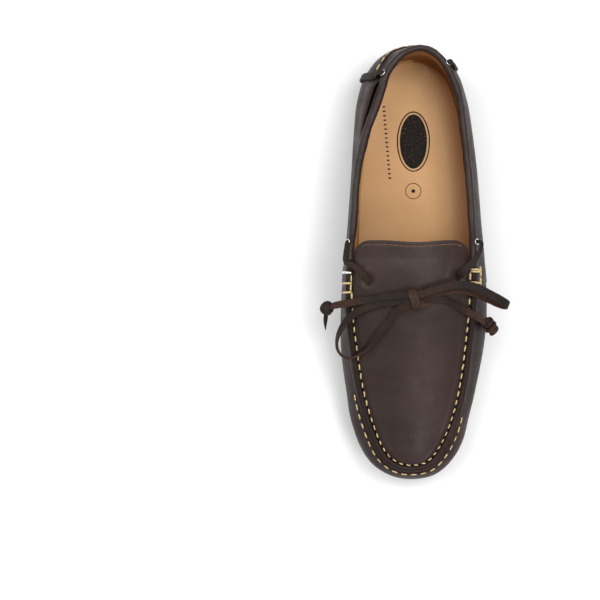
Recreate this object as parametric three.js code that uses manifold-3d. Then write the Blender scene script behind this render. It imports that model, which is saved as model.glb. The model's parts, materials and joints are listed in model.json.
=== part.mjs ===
// A left-foot driving moccasin in dark brown leather: wrapped toe wall, hand-sewn apron, quarters with a
// lace running through the rolled collar, a bow over the apron, and a pebbled rubber outsole.
// Millimetres, +Z up. The toe points along -Y, the heel along +Y, and the outer side of the foot is +X.
// The origin is on the ground, under the middle of the shoe.
import * as THREE from "three";
import { mergeVertices } from "three/addons/utils/BufferGeometryUtils.js";
import Module from "manifold-3d";

const wasm = await Module();
wasm.setup();

// ---- Driving dimensions ----

// Sections round the shoe, from the heel's back along the outer side to the toe (number 14) and back along
// the inner side: the widest outline x, y, how far the sole's edge tucks in under it, and the rim x, y, z.
// The rim is the collar's middle behind the instep, and the wall's top edge at the apron seam before it.
const SECTIONS = [
  [0.8, 139.6, 6, 3, 136, 62],
  [15.5, 136.3, 6, 13.3, 132.3, 61.5],
  [28.3, 125, 7, 21.9, 121.5, 60.5],
  [35.6, 106, 7, 28.2, 105.5, 58],
  [39.8, 83, 8, 31.7, 83, 54.5],
  [43.2, 55, 9, 35.2, 55, 51.5],
  [45.5, 25, 9, 37.1, 25, 53.5],
  [47.5, 0, 8, 37.7, 0, 60],
  [49.2, -27, 8, 38, -27, 54],
  [48, -52, 8, 36.4, -51, 47],
  [42.9, -81, 7, 33.3, -78.5, 40.5],
  [37.4, -103.3, 7, 28.5, -100.4, 36.5],
  [29.3, -124.6, 6, 21.2, -119, 34],
  [16.2, -138.2, 6, 11.5, -131.6, 32.5],
  [0, -142, 6, 0, -134.8, 32],
  [-14.5, -139.2, 6, -11, -133, 32.5],
  [-27, -130.4, 6, -20.3, -125.2, 34],
  [-36, -113.5, 7, -27.7, -109.3, 36.5],
  [-42.6, -87, 7, -34.9, -84.8, 40.5],
  [-46.6, -57, 9, -39.7, -56, 47],
  [-46.6, -29, 10, -42.8, -28, 54],
  [-44.4, 0, 12, -42.3, 0, 60],
  [-42.2, 25, 12, -39.2, 25, 53.5],
  [-40, 55, 10, -37.1, 55, 51.5],
  [-38.3, 83, 9, -31.8, 83, 54.5],
  [-36, 106, 7, -24.7, 105.5, 58],
  [-29.5, 124, 7, -18.2, 121, 60.5],
  [-15.4, 136.3, 6, -8.9, 131.8, 61.5],
];
const TOE = 14; // the section number at the toe's tip
const BULGE_SHARE = 0.42; // the wall is widest at this share of the rim's height
const WALL_CURVE = 2.2; // how late the wall leans in above its widest line
const TOE_SPRING = 7; // how far the toe's tip lifts off the ground
const SPRING_START = 55; // how far in front of the middle the lift starts
const SHOE_HALF = 141;

const GAP = 0.3; // between touching pieces
const LEATHER = 1.8;
const GROUND_PODS = 2.8;
const SOLE_TOP = 6.5;
const WALL_FOOT = SOLE_TOP + GAP;
const COLLAR_RADIUS = 3.2;
const COLLAR_BORE = 2;
const LACE_RADIUS = 1.5;
const THREAD_RADIUS = 0.4;
const SIDE_SEAM = 7.45; // section where a quarter meets the vamp, counted from the heel on either side
const SEAM_HALF = 0.03; // half the joint between them, in sections
const COLLAR_END = 6.85; // section where the collar stops on either side
const APRON_MARGIN = 2.3; // from the wall's top edge to the apron's edge
const INSTEP_DOME = 13; // how far the apron's middle stands over its edges at the instep

// ---- The shoe's surfaces ----

const turn = SECTIONS.length;
const loop = (x, y, z) =>
  new THREE.CatmullRomCurve3(
    SECTIONS.map((s) => new THREE.Vector3(s[x], s[y], s[z])),
    true,
    "catmullrom",
    0.5,
  );
const outlineCurve = loop(0, 1, 2); // its z holds the sole's tuck
const rimCurve = loop(3, 4, 5);
const onLoop = (curve, section) => {
  const turns = section / turn;
  return curve.getPoint(turns - Math.floor(turns));
};

// The inward direction in plan, square to a loop at a section.
function inward(curve, section) {
  const step = 0.02;
  const along = onLoop(curve, section + step).sub(onLoop(curve, section - step));
  return new THREE.Vector3(along.y, -along.x, 0).normalize();
}

// How far the toe's spring lifts what lies at y.
function lift(y) {
  const past = Math.max(0, -y - SPRING_START) / (SHOE_HALF - SPRING_START);
  return TOE_SPRING * past * past;
}
const lifted = (p) => p.setZ(p.z + lift(p.y));

// A point on the wall's outer face, before the toe's lift.
function wallFace(section, z) {
  const outline = onLoop(outlineCurve, section);
  const rim = onLoop(rimCurve, section);
  const tuck = outline.z;
  const bulge = rim.z * BULGE_SHARE;
  outline.z = z;
  if (z < bulge) {
    const share = (bulge - z) / (bulge - WALL_FOOT);
    return outline.addScaledVector(inward(outlineCurve, section), tuck * share * share);
  }
  const share = Math.pow((z - bulge) / (rim.z - bulge), WALL_CURVE);
  return outline.lerp(rim.setZ(z), share);
}

// A point of the wall, depth millimetres inside its outer face.
function wall(section, z, depth) {
  const step = 0.05;
  const along = wallFace(section + step, z).sub(wallFace(section - step, z));
  const up = wallFace(section, z + step).sub(wallFace(section, z - step));
  const inside = along.cross(up).normalize();
  return lifted(wallFace(section, z).addScaledVector(inside, depth));
}

const rimPoint = (section) => onLoop(rimCurve, section);
const rimHeight = (section) => rimPoint(section).z;

// The top face of the apron: across runs from -1 at the inner side to 1 at the outer side, and back counts
// sections from the toe's tip.
function apronFace(across, back) {
  const [outer, inner] = [TOE - back, TOE + back].map((section) =>
    onLoop(rimCurve, section).addScaledVector(inward(rimCurve, section), APRON_MARGIN),
  );
  const dome = INSTEP_DOME * Math.pow(Math.sin((Math.PI / 2) * (back / 7)), 1.3);
  const p = inner.lerp(outer, (across + 1) / 2);
  p.z += dome * (1 - across * across) - 0.4;
  return p;
}

function apron(across, back, depth) {
  const step = 0.02;
  const side = apronFace(across + step, back).sub(apronFace(across - step, back));
  const rear = apronFace(across, back + step).sub(apronFace(across, back - step));
  const down = rear.cross(side).normalize();
  if (down.z > 0) down.negate();
  return lifted(apronFace(across, back).addScaledVector(down, depth));
}

// The tongue goes on behind the apron, with rounded corners. across runs from -1 to 1 and back from 0 to 1.
const TONGUE = { inner: -38.4, outer: 33.4, root: 0.3, length: 14, corner: 10, rise: 0.2 };
function tongue(across, back, depth) {
  const middle = (TONGUE.inner + TONGUE.outer) / 2;
  const half = (TONGUE.outer - TONGUE.inner) / 2;
  const x = middle + half * across;
  const past = Math.max(0, Math.abs(x - middle) - (half - TONGUE.corner)) / TONGUE.corner;
  const reach = TONGUE.length - TONGUE.corner * (1 - Math.sqrt(1 - Math.min(1, past * past)));
  const y = TONGUE.root + reach * back;
  const edge = apronFace(-1, 7);
  const root = apronFace(1, 7);
  const share = (2 * (x - edge.x)) / (root.x - edge.x) - 1;
  const z = edge.z + INSTEP_DOME * (1 - share * share) + TONGUE.rise * y;
  return new THREE.Vector3(x, y, z - depth);
}

// ---- Solids ----

// One closed body with merged corners and its faces pointing out.
function closed(geometry) {
  geometry.deleteAttribute("normal");
  geometry.deleteAttribute("uv");
  const merged = mergeVertices(geometry, 1e-3);
  const p = merged.attributes.position;
  const index = merged.index.array;
  const corner = (i) => new THREE.Vector3().fromBufferAttribute(p, index[i]);
  let volume = 0;
  for (let i = 0; i < index.length; i += 3) {
    volume += corner(i).dot(corner(i + 1).cross(corner(i + 2)));
  }
  if (volume < 0) index.reverse();
  return merged;
}

// A box of a by b by c cells, each corner moved to place(a, b, c) with all three from 0 to 1.
function warped(cells, place) {
  const box = new THREE.BoxGeometry(1, 1, 1, ...cells);
  const p = box.attributes.position;
  for (let i = 0; i < p.count; i++) {
    const at = place(p.getX(i) + 0.5, p.getY(i) + 0.5, p.getZ(i) + 0.5);
    p.setXYZ(i, at.x, at.y, at.z);
  }
  return closed(box);
}

const between = (low, high, share) => low + (high - low) * share;

// A panel of the wall from one section to another, from height low(section) to high(section).
function panel(from, to, low, high, outer, inner, cells) {
  return warped(cells, (a, b, c) => {
    const section = between(from, to, a);
    const z = between(low(section), high(section), b);
    return wall(section, z, between(inner, outer, c));
  });
}

function curveThrough(points) {
  const path = points.map((p) => (p.isVector3 ? p : new THREE.Vector3(...p)));
  return new THREE.CatmullRomCurve3(path, false, "catmullrom", 0.5);
}

// A round bar along a curve.
function bar(points, radius, sides, steps) {
  const section = new THREE.Shape();
  section.absarc(0, 0, radius, 0, 2 * Math.PI, false);
  const extrudePath = curveThrough(points);
  const outline = new THREE.Shape(section.getSpacedPoints(sides).slice(0, sides));
  return closed(new THREE.ExtrudeGeometry(outline, { steps, extrudePath, bevelEnabled: false }));
}

function solid(geometry) {
  return new wasm.Manifold(
    new wasm.Mesh({
      numProp: 3,
      vertProperties: geometry.attributes.position.array,
      triVerts: new Uint32Array(geometry.index.array),
    }),
  );
}

function geometryOf(manifold) {
  const { vertProperties, triVerts } = manifold.getMesh();
  return new THREE.BufferGeometry()
    .setAttribute("position", new THREE.BufferAttribute(vertProperties, 3))
    .setIndex(new THREE.BufferAttribute(triVerts, 1));
}

const cut = (geometry, ...tools) =>
  geometryOf(tools.reduce((left, tool) => left.subtract(solid(tool)), solid(geometry)));
const join = (...geometries) =>
  geometryOf(geometries.map(solid).reduce((all, next) => all.add(next)));

// ---- Materials ----

const finish = (color, roughness, metalness = 0) =>
  new THREE.MeshStandardMaterial({ color, roughness, metalness });
const upperLeather = finish(0x33292a, 0.5);
const collarLeather = finish(0x2e2626, 0.45);
const laceLeather = finish(0x2a211d, 0.65);
const tanLeather = finish(0xb98a5a, 0.5);
const rubber = finish(0x2a211e, 0.8);
const thread = finish(0xd9bd7c, 0.7);
const fineThread = finish(0x5a2f22, 0.7);
const foam = finish(0xd8cbb0, 0.95);
const board = finish(0x9c8460, 0.9);
const nickel = finish(0xcfcfcf, 0.25, 1);

const shoe = new THREE.Group();
function add(name, geometry, material) {
  const mesh = new THREE.Mesh(geometry, material);
  mesh.name = name;
  shoe.add(mesh);
}

// ---- Sole and footbed ----

// A plate that fills the shoe's plan between two heights, edge(section) giving its edge.
function plate(low, high, edge) {
  const blunt = 0.3; // sections left off at each end, where the plate's edge is square
  return warped([2, 24, 1], (a, b, c) => {
    const back = between(blunt, TOE - blunt, b);
    const p = edge(TOE + back).lerp(edge(TOE - back), a);
    return lifted(p.setZ(between(low, high, c)));
  });
}

const OUTSOLE_LIP = 1.5; // the outsole stands this far outside the wall's foot
function soleEdge(section) {
  const p = onLoop(outlineCurve, section);
  return p.addScaledVector(inward(outlineCurve, section), p.z - OUTSOLE_LIP);
}

const POD = { radius: 4.6, taper: 0.8, pitch: 14.5, rows: 19, sides: 6 };

// The places of the pebbles: staggered rows under the forefoot and the heel, clear of the sole's edge.
function podPlaces() {
  const places = [];
  const edge = Array.from({ length: 112 }, (_, i) => soleEdge(i / 4));
  for (let row = 0; row < POD.rows; row++) {
    const y = 132 - row * POD.pitch;
    const near = edge.filter((p) => Math.abs(p.y - y) < POD.pitch / 2).map((p) => p.x);
    const [low, high] = [Math.min(...near) + POD.radius + 2, Math.max(...near) - POD.radius - 2];
    const count = Math.floor((high - low) / POD.pitch) + (row % 2);
    const inWaist = y < 52 && y > 8;
    for (let i = 0; i < count && !inWaist; i++) {
      places.push([(low + high) / 2 + (i - (count - 1) / 2) * POD.pitch, y]);
    }
  }
  return places.filter(([x, y]) => clearOfEdge(edge, x, y));
}

function clearOfEdge(edge, x, y) {
  return edge.every((p) => Math.hypot(p.x - x, p.y - y) > POD.radius + 1);
}

function outsole() {
  const slab = plate(GROUND_PODS, SOLE_TOP, soleEdge);
  const pods = podPlaces().map(([x, y]) => {
    const sunk = 1; // how far the pod's root reaches into the slab
    const pod = new THREE.CylinderGeometry(
      POD.radius,
      POD.radius - POD.taper,
      GROUND_PODS + sunk,
      POD.sides,
    );
    pod.rotateX(Math.PI / 2);
    pod.translate(x, y, (GROUND_PODS + sunk) / 2 + lift(y));
    return closed(pod);
  });
  return join(slab, ...pods);
}

add("outsole", outsole(), rubber);

// The layers under the foot: name, underside, top, how far in from the wall's face, material.
const LAYERS = [
  ["bottom_leather", 7, 8.5, 6.2, upperLeather],
  ["insole_board", 8.8, 10.2, 6.8, board],
  ["footbed_foam", 10.5, 13.5, 7.6, foam],
  ["sock_lining", 13.8, 15, 9.4, tanLeather],
];
for (const [name, low, high, margin, material] of LAYERS) {
  const edge = (section) =>
    wallFace(section, low).addScaledVector(inward(outlineCurve, section), margin);
  add(name, plate(low, high, edge), material);
}

// ---- Walls ----

const at = (height) => () => height;
const foot = at(WALL_FOOT);
const underCollar = (section) => rimHeight(section) - COLLAR_RADIUS - 0.5;

// The quarters' top edge runs under the collar, and rises to the rim before the collar's end.
function quarterTop(section) {
  const fromHeel = Math.min(section, turn - section);
  const rise = THREE.MathUtils.smoothstep(fromHeel, COLLAR_END + 0.1, COLLAR_END + 0.4);
  return between(underCollar(section), rimHeight(section), rise);
}

const HEEL_JOINT = 0.01; // half the butt joint of the quarters at the heel, in sections
const frontEdge = SIDE_SEAM - SEAM_HALF;
for (const [name, from, to] of [
  ["quarter_outer", HEEL_JOINT, frontEdge],
  ["quarter_inner", turn - frontEdge, turn - HEEL_JOINT],
]) {
  add(name, panel(from, to, foot, quarterTop, 0, LEATHER, [20, 5, 1]), upperLeather);
}
const vampFrom = SIDE_SEAM + SEAM_HALF;
add(
  "vamp_wall",
  panel(vampFrom, turn - vampFrom, foot, rimHeight, 0, LEATHER, [26, 5, 1]),
  upperLeather,
);

const COUNTER = { reach: 2.6, low: 10, high: 44, outer: 2.4, inner: 3.4 };
add(
  "heel_counter",
  panel(
    -COUNTER.reach,
    COUNTER.reach,
    at(COUNTER.low),
    at(COUNTER.high),
    COUNTER.outer,
    COUNTER.inner,
    [14, 4, 1],
  ),
  board,
);

const QUARTER_LINING = { foot: 7.4, outer: 4.1, inner: 5.1 };
add(
  "quarter_lining",
  panel(
    -SIDE_SEAM,
    SIDE_SEAM,
    at(QUARTER_LINING.foot),
    underCollar,
    QUARTER_LINING.outer,
    QUARTER_LINING.inner,
    [30, 3, 1],
  ),
  tanLeather,
);
const VAMP_LINING = { foot: 7.4, below: 5, outer: 2.7, inner: 3.5 };
add(
  "vamp_lining",
  panel(
    vampFrom,
    turn - vampFrom,
    at(VAMP_LINING.foot),
    (section) => rimHeight(section) - VAMP_LINING.below,
    VAMP_LINING.outer,
    VAMP_LINING.inner,
    [26, 3, 1],
  ),
  tanLeather,
);

// Second layers over the wall, sewn on along their top edges, with their ends in sections.
const OVERLAY = { foot: 8.8, near: -0.9, far: -2 };
const TOE_GUARD = { from: 10.85, to: 18.15, outside: 2.3 };
const HEEL_PATCH = { from: -2.05, to: 1.5, top: 51.6 };

// The height at which the wall stands so far outside its rim, in plan.
function heightOutside(section, distance) {
  const outline = onLoop(outlineCurve, section).setZ(0);
  const rim = onLoop(rimCurve, section);
  const bulge = rim.z * BULGE_SHARE;
  const share = 1 - distance / outline.distanceTo(rim.clone().setZ(0));
  return bulge + (rim.z - bulge) * Math.pow(share, 1 / WALL_CURVE);
}
const guardTop = (section) => heightOutside(section, TOE_GUARD.outside);
function overlay(from, to, top, cells) {
  return panel(from, to, at(OVERLAY.foot), top, OVERLAY.far, OVERLAY.near, cells);
}
add("toe_guard", overlay(TOE_GUARD.from, TOE_GUARD.to, guardTop, [26, 4, 1]), upperLeather);
add(
  "heel_patch",
  overlay(HEEL_PATCH.from, HEEL_PATCH.to, at(HEEL_PATCH.top), [12, 4, 1]),
  upperLeather,
);

// ---- Apron and tongue ----

// A point beside the collar's middle, so far out from the shoe and so far up.
function besideCollar(section, out, up) {
  const p = onLoop(rimCurve, section).addScaledVector(inward(rimCurve, section), -out);
  return p.setZ(p.z + up);
}

// The bow's free ends and loops, as points along the lace's middle from the knot outwards.
const BOW_ROUTES = {
  bow_tail_inner: [
    [-8.6, -21.8, 71.2],
    [-13.5, -22.3, 69.8],
    [-20, -23, 67.4],
    [-25, -23.8, 65.3],
    [-29.6, -24.7, 63.1],
    [-33, -25.3, 61.8],
    [-36.5, -25.9, 60.5],
    [-40, -26.5, 58.8],
    [-44, -27.2, 56.6],
    [-48, -27.8, 53.4],
    [-51.3, -28.5, 50.4],
    [-53.6, -29.2, 47.8],
  ],
  bow_loop_inner: [
    [-8.6, -25.3, 69.3],
    [-14, -26.2, 67.9],
    [-20, -27, 66],
    [-25.8, -28.2, 63.9],
    [-32, -30.3, 61],
    [-37.6, -33.1, 58],
    [-42, -36.5, 55.2],
    [-46, -41.5, 52.4],
    [-49, -47.5, 50.4],
    [-50, -53, 48.9],
    [-49, -58, 48.1],
    [-45.5, -61.8, 48],
    [-41, -62.6, 48.9],
    [-36.5, -60.5, 50.2],
    [-29.4, -54.3, 54.6],
    [-21.3, -44.4, 60.4],
    [-17, -38.5, 63.3],
    [-13.4, -33.1, 65.8],
    [-10, -30.2, 67.5],
    [-7.2, -29.3, 69.2],
  ],
  bow_tail_outer: [
    [4.8, -25.8, 70.2],
    [10, -25, 67.6],
    [14, -24.6, 66.4],
    [18.2, -24.8, 65],
    [22, -26, 63],
    [26, -28, 60.8],
    [31, -30.6, 58.2],
    [34.8, -33, 55.8],
    [38.5, -35, 53],
    [42, -37, 49.6],
    [44.8, -38.6, 46],
    [46.4, -39.6, 43.6],
  ],
  bow_loop_outer: [
    [4.8, -21, 73.8],
    [10, -19, 73.2],
    [18, -16.8, 71.8],
    [25.5, -15.4, 70],
    [31.5, -15.4, 68.4],
    [37.6, -16.6, 66.6],
    [43.5, -19, 64.6],
    [49, -21.8, 61.8],
    [54.6, -24.6, 58.6],
    [59.6, -27.6, 54.4],
    [59.4, -28.8, 50],
    [54.8, -27.6, 47.8],
    [49.4, -25.2, 49.6],
    [44.5, -23, 52.4],
    [41, -21.5, 55.4],
    [37.5, -20.3, 58.4],
    [31.5, -19.2, 61.3],
    [25.5, -18.8, 63.8],
    [18, -19.6, 66.7],
    [10, -20.8, 68.8],
    [4.8, -21.4, 70.2],
  ],
};
const laceTube = (points, steps, spare = 0) => bar(points, LACE_RADIUS + spare, 8, steps);

// A front strap leaves its eyelet, crosses the collar's end, and goes through and under the apron to the
// bow. Its start is given beside the collar: sections past the eyelet, out and up.
const STRAP_START = [
  [0, 1.8, 1.6],
  [0, 3.7, 3.3],
  [0.08, 5, 4.6],
  [0.22, 4, 5.1],
  [0.36, 2, 5.5],
  [0.48, 0, 5.5],
];
const FRONT_STRAPS = {
  front_strap_outer: [
    [34.2, -3.2, 65.6],
    [31.4, -5.8, 65.4],
    [28.9, -8.2, 64],
    [26.9, -10.4, 61.2],
    [23.6, -12.6, 59.8],
    [18.5, -15.2, 60],
    [13, -18.2, 61],
    [7.6, -20.8, 62],
    [4.2, -22.4, 63.6],
    [2.6, -23.2, 65.6],
    [2.4, -23.4, 67.2],
  ],
  front_strap_inner: [
    [-40.4, -3.4, 65.2],
    [-36.8, -6.9, 65.4],
    [-33.4, -10.2, 65.4],
    [-30.8, -12.6, 63.2],
    [-28.2, -14.8, 60.8],
    [-23.6, -17, 60],
    [-17, -19.4, 61],
    [-11, -21.6, 62],
    [-8, -22.6, 63.4],
    [-6.6, -23.2, 65.4],
    [-6.4, -23.4, 67],
  ],
};
function strapRoute(name, eyelet, forward) {
  const start = STRAP_START.map(([past, out, up]) => besideCollar(eyelet + forward * past, out, up));
  return [...start, ...FRONT_STRAPS[name]];
}
const FRONT_EYELET = 6.5; // its section, counted from the heel on either side
const STRAP_ROUTES = {
  front_strap_outer: strapRoute("front_strap_outer", FRONT_EYELET, 1),
  front_strap_inner: strapRoute("front_strap_inner", turn - FRONT_EYELET, -1),
};

const APRON = { tip: 0.3, rear: 7 }; // its two ends, in sections from the toe's tip
const SLOT_SPARE = 0.4; // round the lace where it passes through the apron
const slotTools = Object.values(STRAP_ROUTES).map((route) => laceTube(route, 30, SLOT_SPARE));
const apronSheet = warped([10, 14, 1], (a, b, c) =>
  apron(between(-1, 1, a), between(APRON.tip, APRON.rear, b), between(LEATHER, 0, c)),
);
add("apron", cut(apronSheet, ...slotTools), upperLeather);
add(
  "tongue",
  warped([14, 3, 1], (a, b, c) => tongue(between(-1, 1, a), b, between(LEATHER, 0, c))),
  upperLeather,
);

// ---- Collar ----

const rimPath = (from, to, steps) =>
  Array.from({ length: steps + 1 }, (_, i) => rimPoint(between(from, to, i / steps)));

const HEEL_EYELETS = { outer: 1.68, inner: 2.12 }; // sections from the heel on either side
const EYELETS = [
  ["front_eyelet_outer", FRONT_EYELET],
  ["front_eyelet_inner", turn - FRONT_EYELET],
  ["heel_eyelet_outer", HEEL_EYELETS.outer],
  ["heel_eyelet_inner", turn - HEEL_EYELETS.inner],
];
const EYELET = { bore: 1.9, flange: 2.7, high: 0.8, tilt: 0.9, stand: 0.6 };

// Turns an upright piece to lean out and up from the collar, and moves it so far from the collar's middle.
function facingOut(geometry, section, distance) {
  const start = rimPoint(section);
  const way = besideCollar(section, 1, EYELET.tilt).sub(start).normalize();
  const upright = new THREE.Vector3(0, 1, 0);
  geometry.applyQuaternion(new THREE.Quaternion().setFromUnitVectors(upright, way));
  start.addScaledVector(way, distance);
  geometry.translate(start.x, start.y, start.z);
  return closed(geometry);
}

// The drill for an eyelet's hole, which opens the collar's outer side only.
function eyeletDrill(section) {
  const reach = COLLAR_RADIUS + 1;
  const drill = new THREE.CylinderGeometry(EYELET.bore, EYELET.bore, reach, 10);
  return facingOut(drill, section, reach / 2);
}

const boreEnd = COLLAR_END + 0.05;
add(
  "collar",
  cut(
    bar(rimPath(-COLLAR_END, COLLAR_END, 40), COLLAR_RADIUS, 8, 30),
    bar(rimPath(-boreEnd, boreEnd, 40), COLLAR_BORE, 6, 30),
    ...EYELETS.map(([, section]) => eyeletDrill(section)),
  ),
  collarLeather,
);

for (const [name, section] of EYELETS) {
  const { bore, flange, high, stand } = EYELET;
  const ring = [
    [bore, 0],
    [flange, 0],
    [flange - 0.3, high],
    [bore, high],
    [bore, 0],
  ].map(([x, y]) => new THREE.Vector2(x, y));
  add(name, facingOut(new THREE.LatheGeometry(ring, 12), section, COLLAR_RADIUS + stand), nickel);
}

// ---- Lace ----

for (const [name, route] of Object.entries({ ...STRAP_ROUTES, ...BOW_ROUTES })) {
  add(name, laceTube(route, route.length + 5), laceLeather);
}

// The lace's hidden runs inside the collar, from a heel eyelet to a front eyelet.
const hiddenRun = (from, to) => laceTube(rimPath(from + 0.3, to - 0.3, 16), 14);
add("collar_lace_outer", hiddenRun(HEEL_EYELETS.outer, FRONT_EYELET), laceLeather);
add("collar_lace_inner", hiddenRun(-FRONT_EYELET, -HEEL_EYELETS.inner), laceLeather);

// At the heel the lace comes out of its eyelet and runs down the quarter, beside the heel patch.
function heelLace(eyelet, down) {
  const off = -LACE_RADIUS - 0.5;
  const over = [
    [0, 1.8, 1.6],
    [0, 3.7, 3.3],
    [0.1, 5.3, 4.4],
    [0.5, 6.8, 3],
    [0.8, 7, 0],
    [1, 6.3, -4],
  ].map(([share, out, up]) => besideCollar(between(eyelet, down, share), out, up));
  const along = [50, 42, 33, 24, 12].map((z) => wall(down, z, off));
  return [...over, ...along];
}
add("heel_lace_outer", laceTube(heelLace(HEEL_EYELETS.outer, 1.98), 20), laceLeather);
const innerDown = turn - 2.24; // the section it runs down at
add(
  "heel_lace_inner",
  laceTube(heelLace(turn - HEEL_EYELETS.inner, innerDown), 20),
  laceLeather,
);

// A knot as a rounded lump with a band round it.
function knot([x, y, z], [wide, long, high], band) {
  const lump = new THREE.SphereGeometry(1, 10, 6);
  lump.scale(wide, long, high);
  const wrap = new THREE.TorusGeometry(1, band.thick, 4, 10);
  wrap.rotateY(Math.PI / 2);
  wrap.scale(band.wide, long, high);
  const whole = join(closed(lump), closed(wrap));
  whole.rotateZ(band.turn);
  whole.translate(x, y, z);
  return whole;
}
add(
  "bow_knot",
  knot([-2, -24.3, 72.6], [6, 5.2, 4], { thick: 0.1, wide: 26, turn: 0 }),
  laceLeather,
);
add(
  "stopper_knot_outer",
  knot([50.2, -41.9, 39.4], [3.6, 4.2, 5], { thick: 0.12, wide: 12, turn: 0.9 }),
  laceLeather,
);
const tip = [
  [-56.4, -32, 43.6],
  [-57, -37, 41],
  [-57.2, -41, 38.6],
  [-57, -44.6, 36],
];
add(
  "stopper_knot_inner",
  join(
    knot([-56.4, -30.2, 44.4], [3.6, 4.2, 4.6], { thick: 0.12, wide: 12, turn: 0.2 }),
    laceTube(tip, 4),
  ),
  laceLeather,
);

// ---- Threads ----

const threadBar = (points, steps) => bar(points, THREAD_RADIUS, 5, steps);
const THREAD_OFF = THREAD_RADIUS + GAP; // from the leather to the thread's middle
const steps = (from, to, count) =>
  Array.from({ length: count + 1 }, (_, i) => between(from, to, i / count));

// The apron's seam, along the apron beside its edge.
function apronSeam() {
  const inset = 1; // from the apron's edge to the seam
  const side = (sign) => (back) => {
    const wide = apronFace(1, back).distanceTo(apronFace(-1, back));
    return apron(sign * (1 - (2 * inset) / wide), back, -THREAD_OFF);
  };
  const backs = steps(6.95, 0.9, 22);
  const middle = apron(0, 0.42, -THREAD_OFF);
  return [...backs.map(side(-1)), middle, ...backs.reverse().map(side(1))];
}
add("apron_thread", threadBar(apronSeam(), 64), thread);

function overlaySeam({ from, to }, top, below) {
  const off = OVERLAY.far - THREAD_OFF;
  const inset = 0.1; // sections left bare at either end
  const sections = steps(from + inset, to - inset, 24);
  return sections.map((section) => wall(section, top(section) - below, off));
}
add("toe_thread", threadBar(overlaySeam(TOE_GUARD, guardTop, 1.1), 30), thread);
add("heel_thread", threadBar(overlaySeam(HEEL_PATCH, at(HEEL_PATCH.top), 1.6), 14), thread);

// The tongue's stitches, inside its rear edge.
function tongueSeam() {
  const inset = 2.7;
  const reach = 0.92; // of the half width
  return steps(-reach, reach, 28).map((across) => {
    const edge = tongue(across, 1, 0).y - TONGUE.root;
    return tongue(across, (edge - inset) / edge, -THREAD_OFF);
  });
}
add("tongue_thread", threadBar(tongueSeam(), 30), fineThread);

// A ladder of stitches over a side seam: two rails and the rungs between them.
function ladder(from, to, below, rungs) {
  const place = (section, down) => wall(section, rimHeight(section) - down, -THREAD_OFF);
  const rails = below.map((down) =>
    threadBar(steps(from, to, 4).map((section) => place(section, down)), 6),
  );
  const bars = rungs.map((section) =>
    threadBar([place(section, below[0]), place(section, below[1])], 2),
  );
  return join(...rails, ...bars);
}
add("ladder_thread_outer", ladder(7.12, 7.62, [2, 8], [7.2, 7.5]), thread);
add(
  "ladder_thread_inner",
  ladder(turn - 7.95, turn - 7.2, [2, 8], [turn - 7.85, turn - 7.55, turn - 7.27]),
  thread,
);

export default shoe;
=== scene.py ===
"""The looks of a left-foot driving moccasin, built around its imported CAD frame.

Lengths are written in millimetres, as in the CAD, and become metres where a mesh is made. The toe
points along -Y, the outer side of the foot is +X, and +Z is up. Sections are counted round the shoe
from the heel's back along the outer side to the toe's tip, and back along the inner side.
"""

import json
import math
import random

import bmesh
import bpy
import numpy as np
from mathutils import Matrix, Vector, kdtree, noise

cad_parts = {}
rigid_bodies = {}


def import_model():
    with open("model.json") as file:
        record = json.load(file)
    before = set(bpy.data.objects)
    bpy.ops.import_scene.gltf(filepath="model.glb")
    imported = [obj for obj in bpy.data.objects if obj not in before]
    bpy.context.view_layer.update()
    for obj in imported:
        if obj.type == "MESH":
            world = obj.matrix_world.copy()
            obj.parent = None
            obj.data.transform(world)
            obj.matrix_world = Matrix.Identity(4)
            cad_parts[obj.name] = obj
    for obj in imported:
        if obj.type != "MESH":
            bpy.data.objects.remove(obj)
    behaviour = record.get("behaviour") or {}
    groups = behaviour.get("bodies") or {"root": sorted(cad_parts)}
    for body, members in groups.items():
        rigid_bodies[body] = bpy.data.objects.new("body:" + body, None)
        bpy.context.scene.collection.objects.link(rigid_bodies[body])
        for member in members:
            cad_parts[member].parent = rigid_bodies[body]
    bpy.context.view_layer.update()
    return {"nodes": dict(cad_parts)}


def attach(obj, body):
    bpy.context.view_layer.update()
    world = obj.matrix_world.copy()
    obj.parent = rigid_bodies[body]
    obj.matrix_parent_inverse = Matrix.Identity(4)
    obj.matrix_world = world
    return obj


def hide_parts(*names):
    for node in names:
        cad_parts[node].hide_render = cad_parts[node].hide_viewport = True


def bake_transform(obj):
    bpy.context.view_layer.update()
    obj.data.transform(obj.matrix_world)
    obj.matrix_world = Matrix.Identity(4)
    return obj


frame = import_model()

MM = 0.001
random.seed(7)

# ---- The camera ----

PICTURE_HEIGHT = 1330  # the camera's height over the floor
CAMERA_PLACE = (-73.7, -25)
PICTURE_WIDTH = 394.8  # what the frame shows at the height of the sole's widest line
WIDE_LINE = 25
SENSOR_WIDTH = 36


def make_camera():
    data = bpy.data.cameras.new("camera")
    data.sensor_width = SENSOR_WIDTH
    data.lens = SENSOR_WIDTH * (PICTURE_HEIGHT - WIDE_LINE) / PICTURE_WIDTH
    data.clip_end = 20
    camera = bpy.data.objects.new("camera", data)
    camera.location = [c * MM for c in (*CAMERA_PLACE, PICTURE_HEIGHT)]
    bpy.context.scene.collection.objects.link(camera)
    bpy.context.scene.camera = camera


make_camera()

# ---- The shoe's surfaces, as the CAD has them ----

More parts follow.
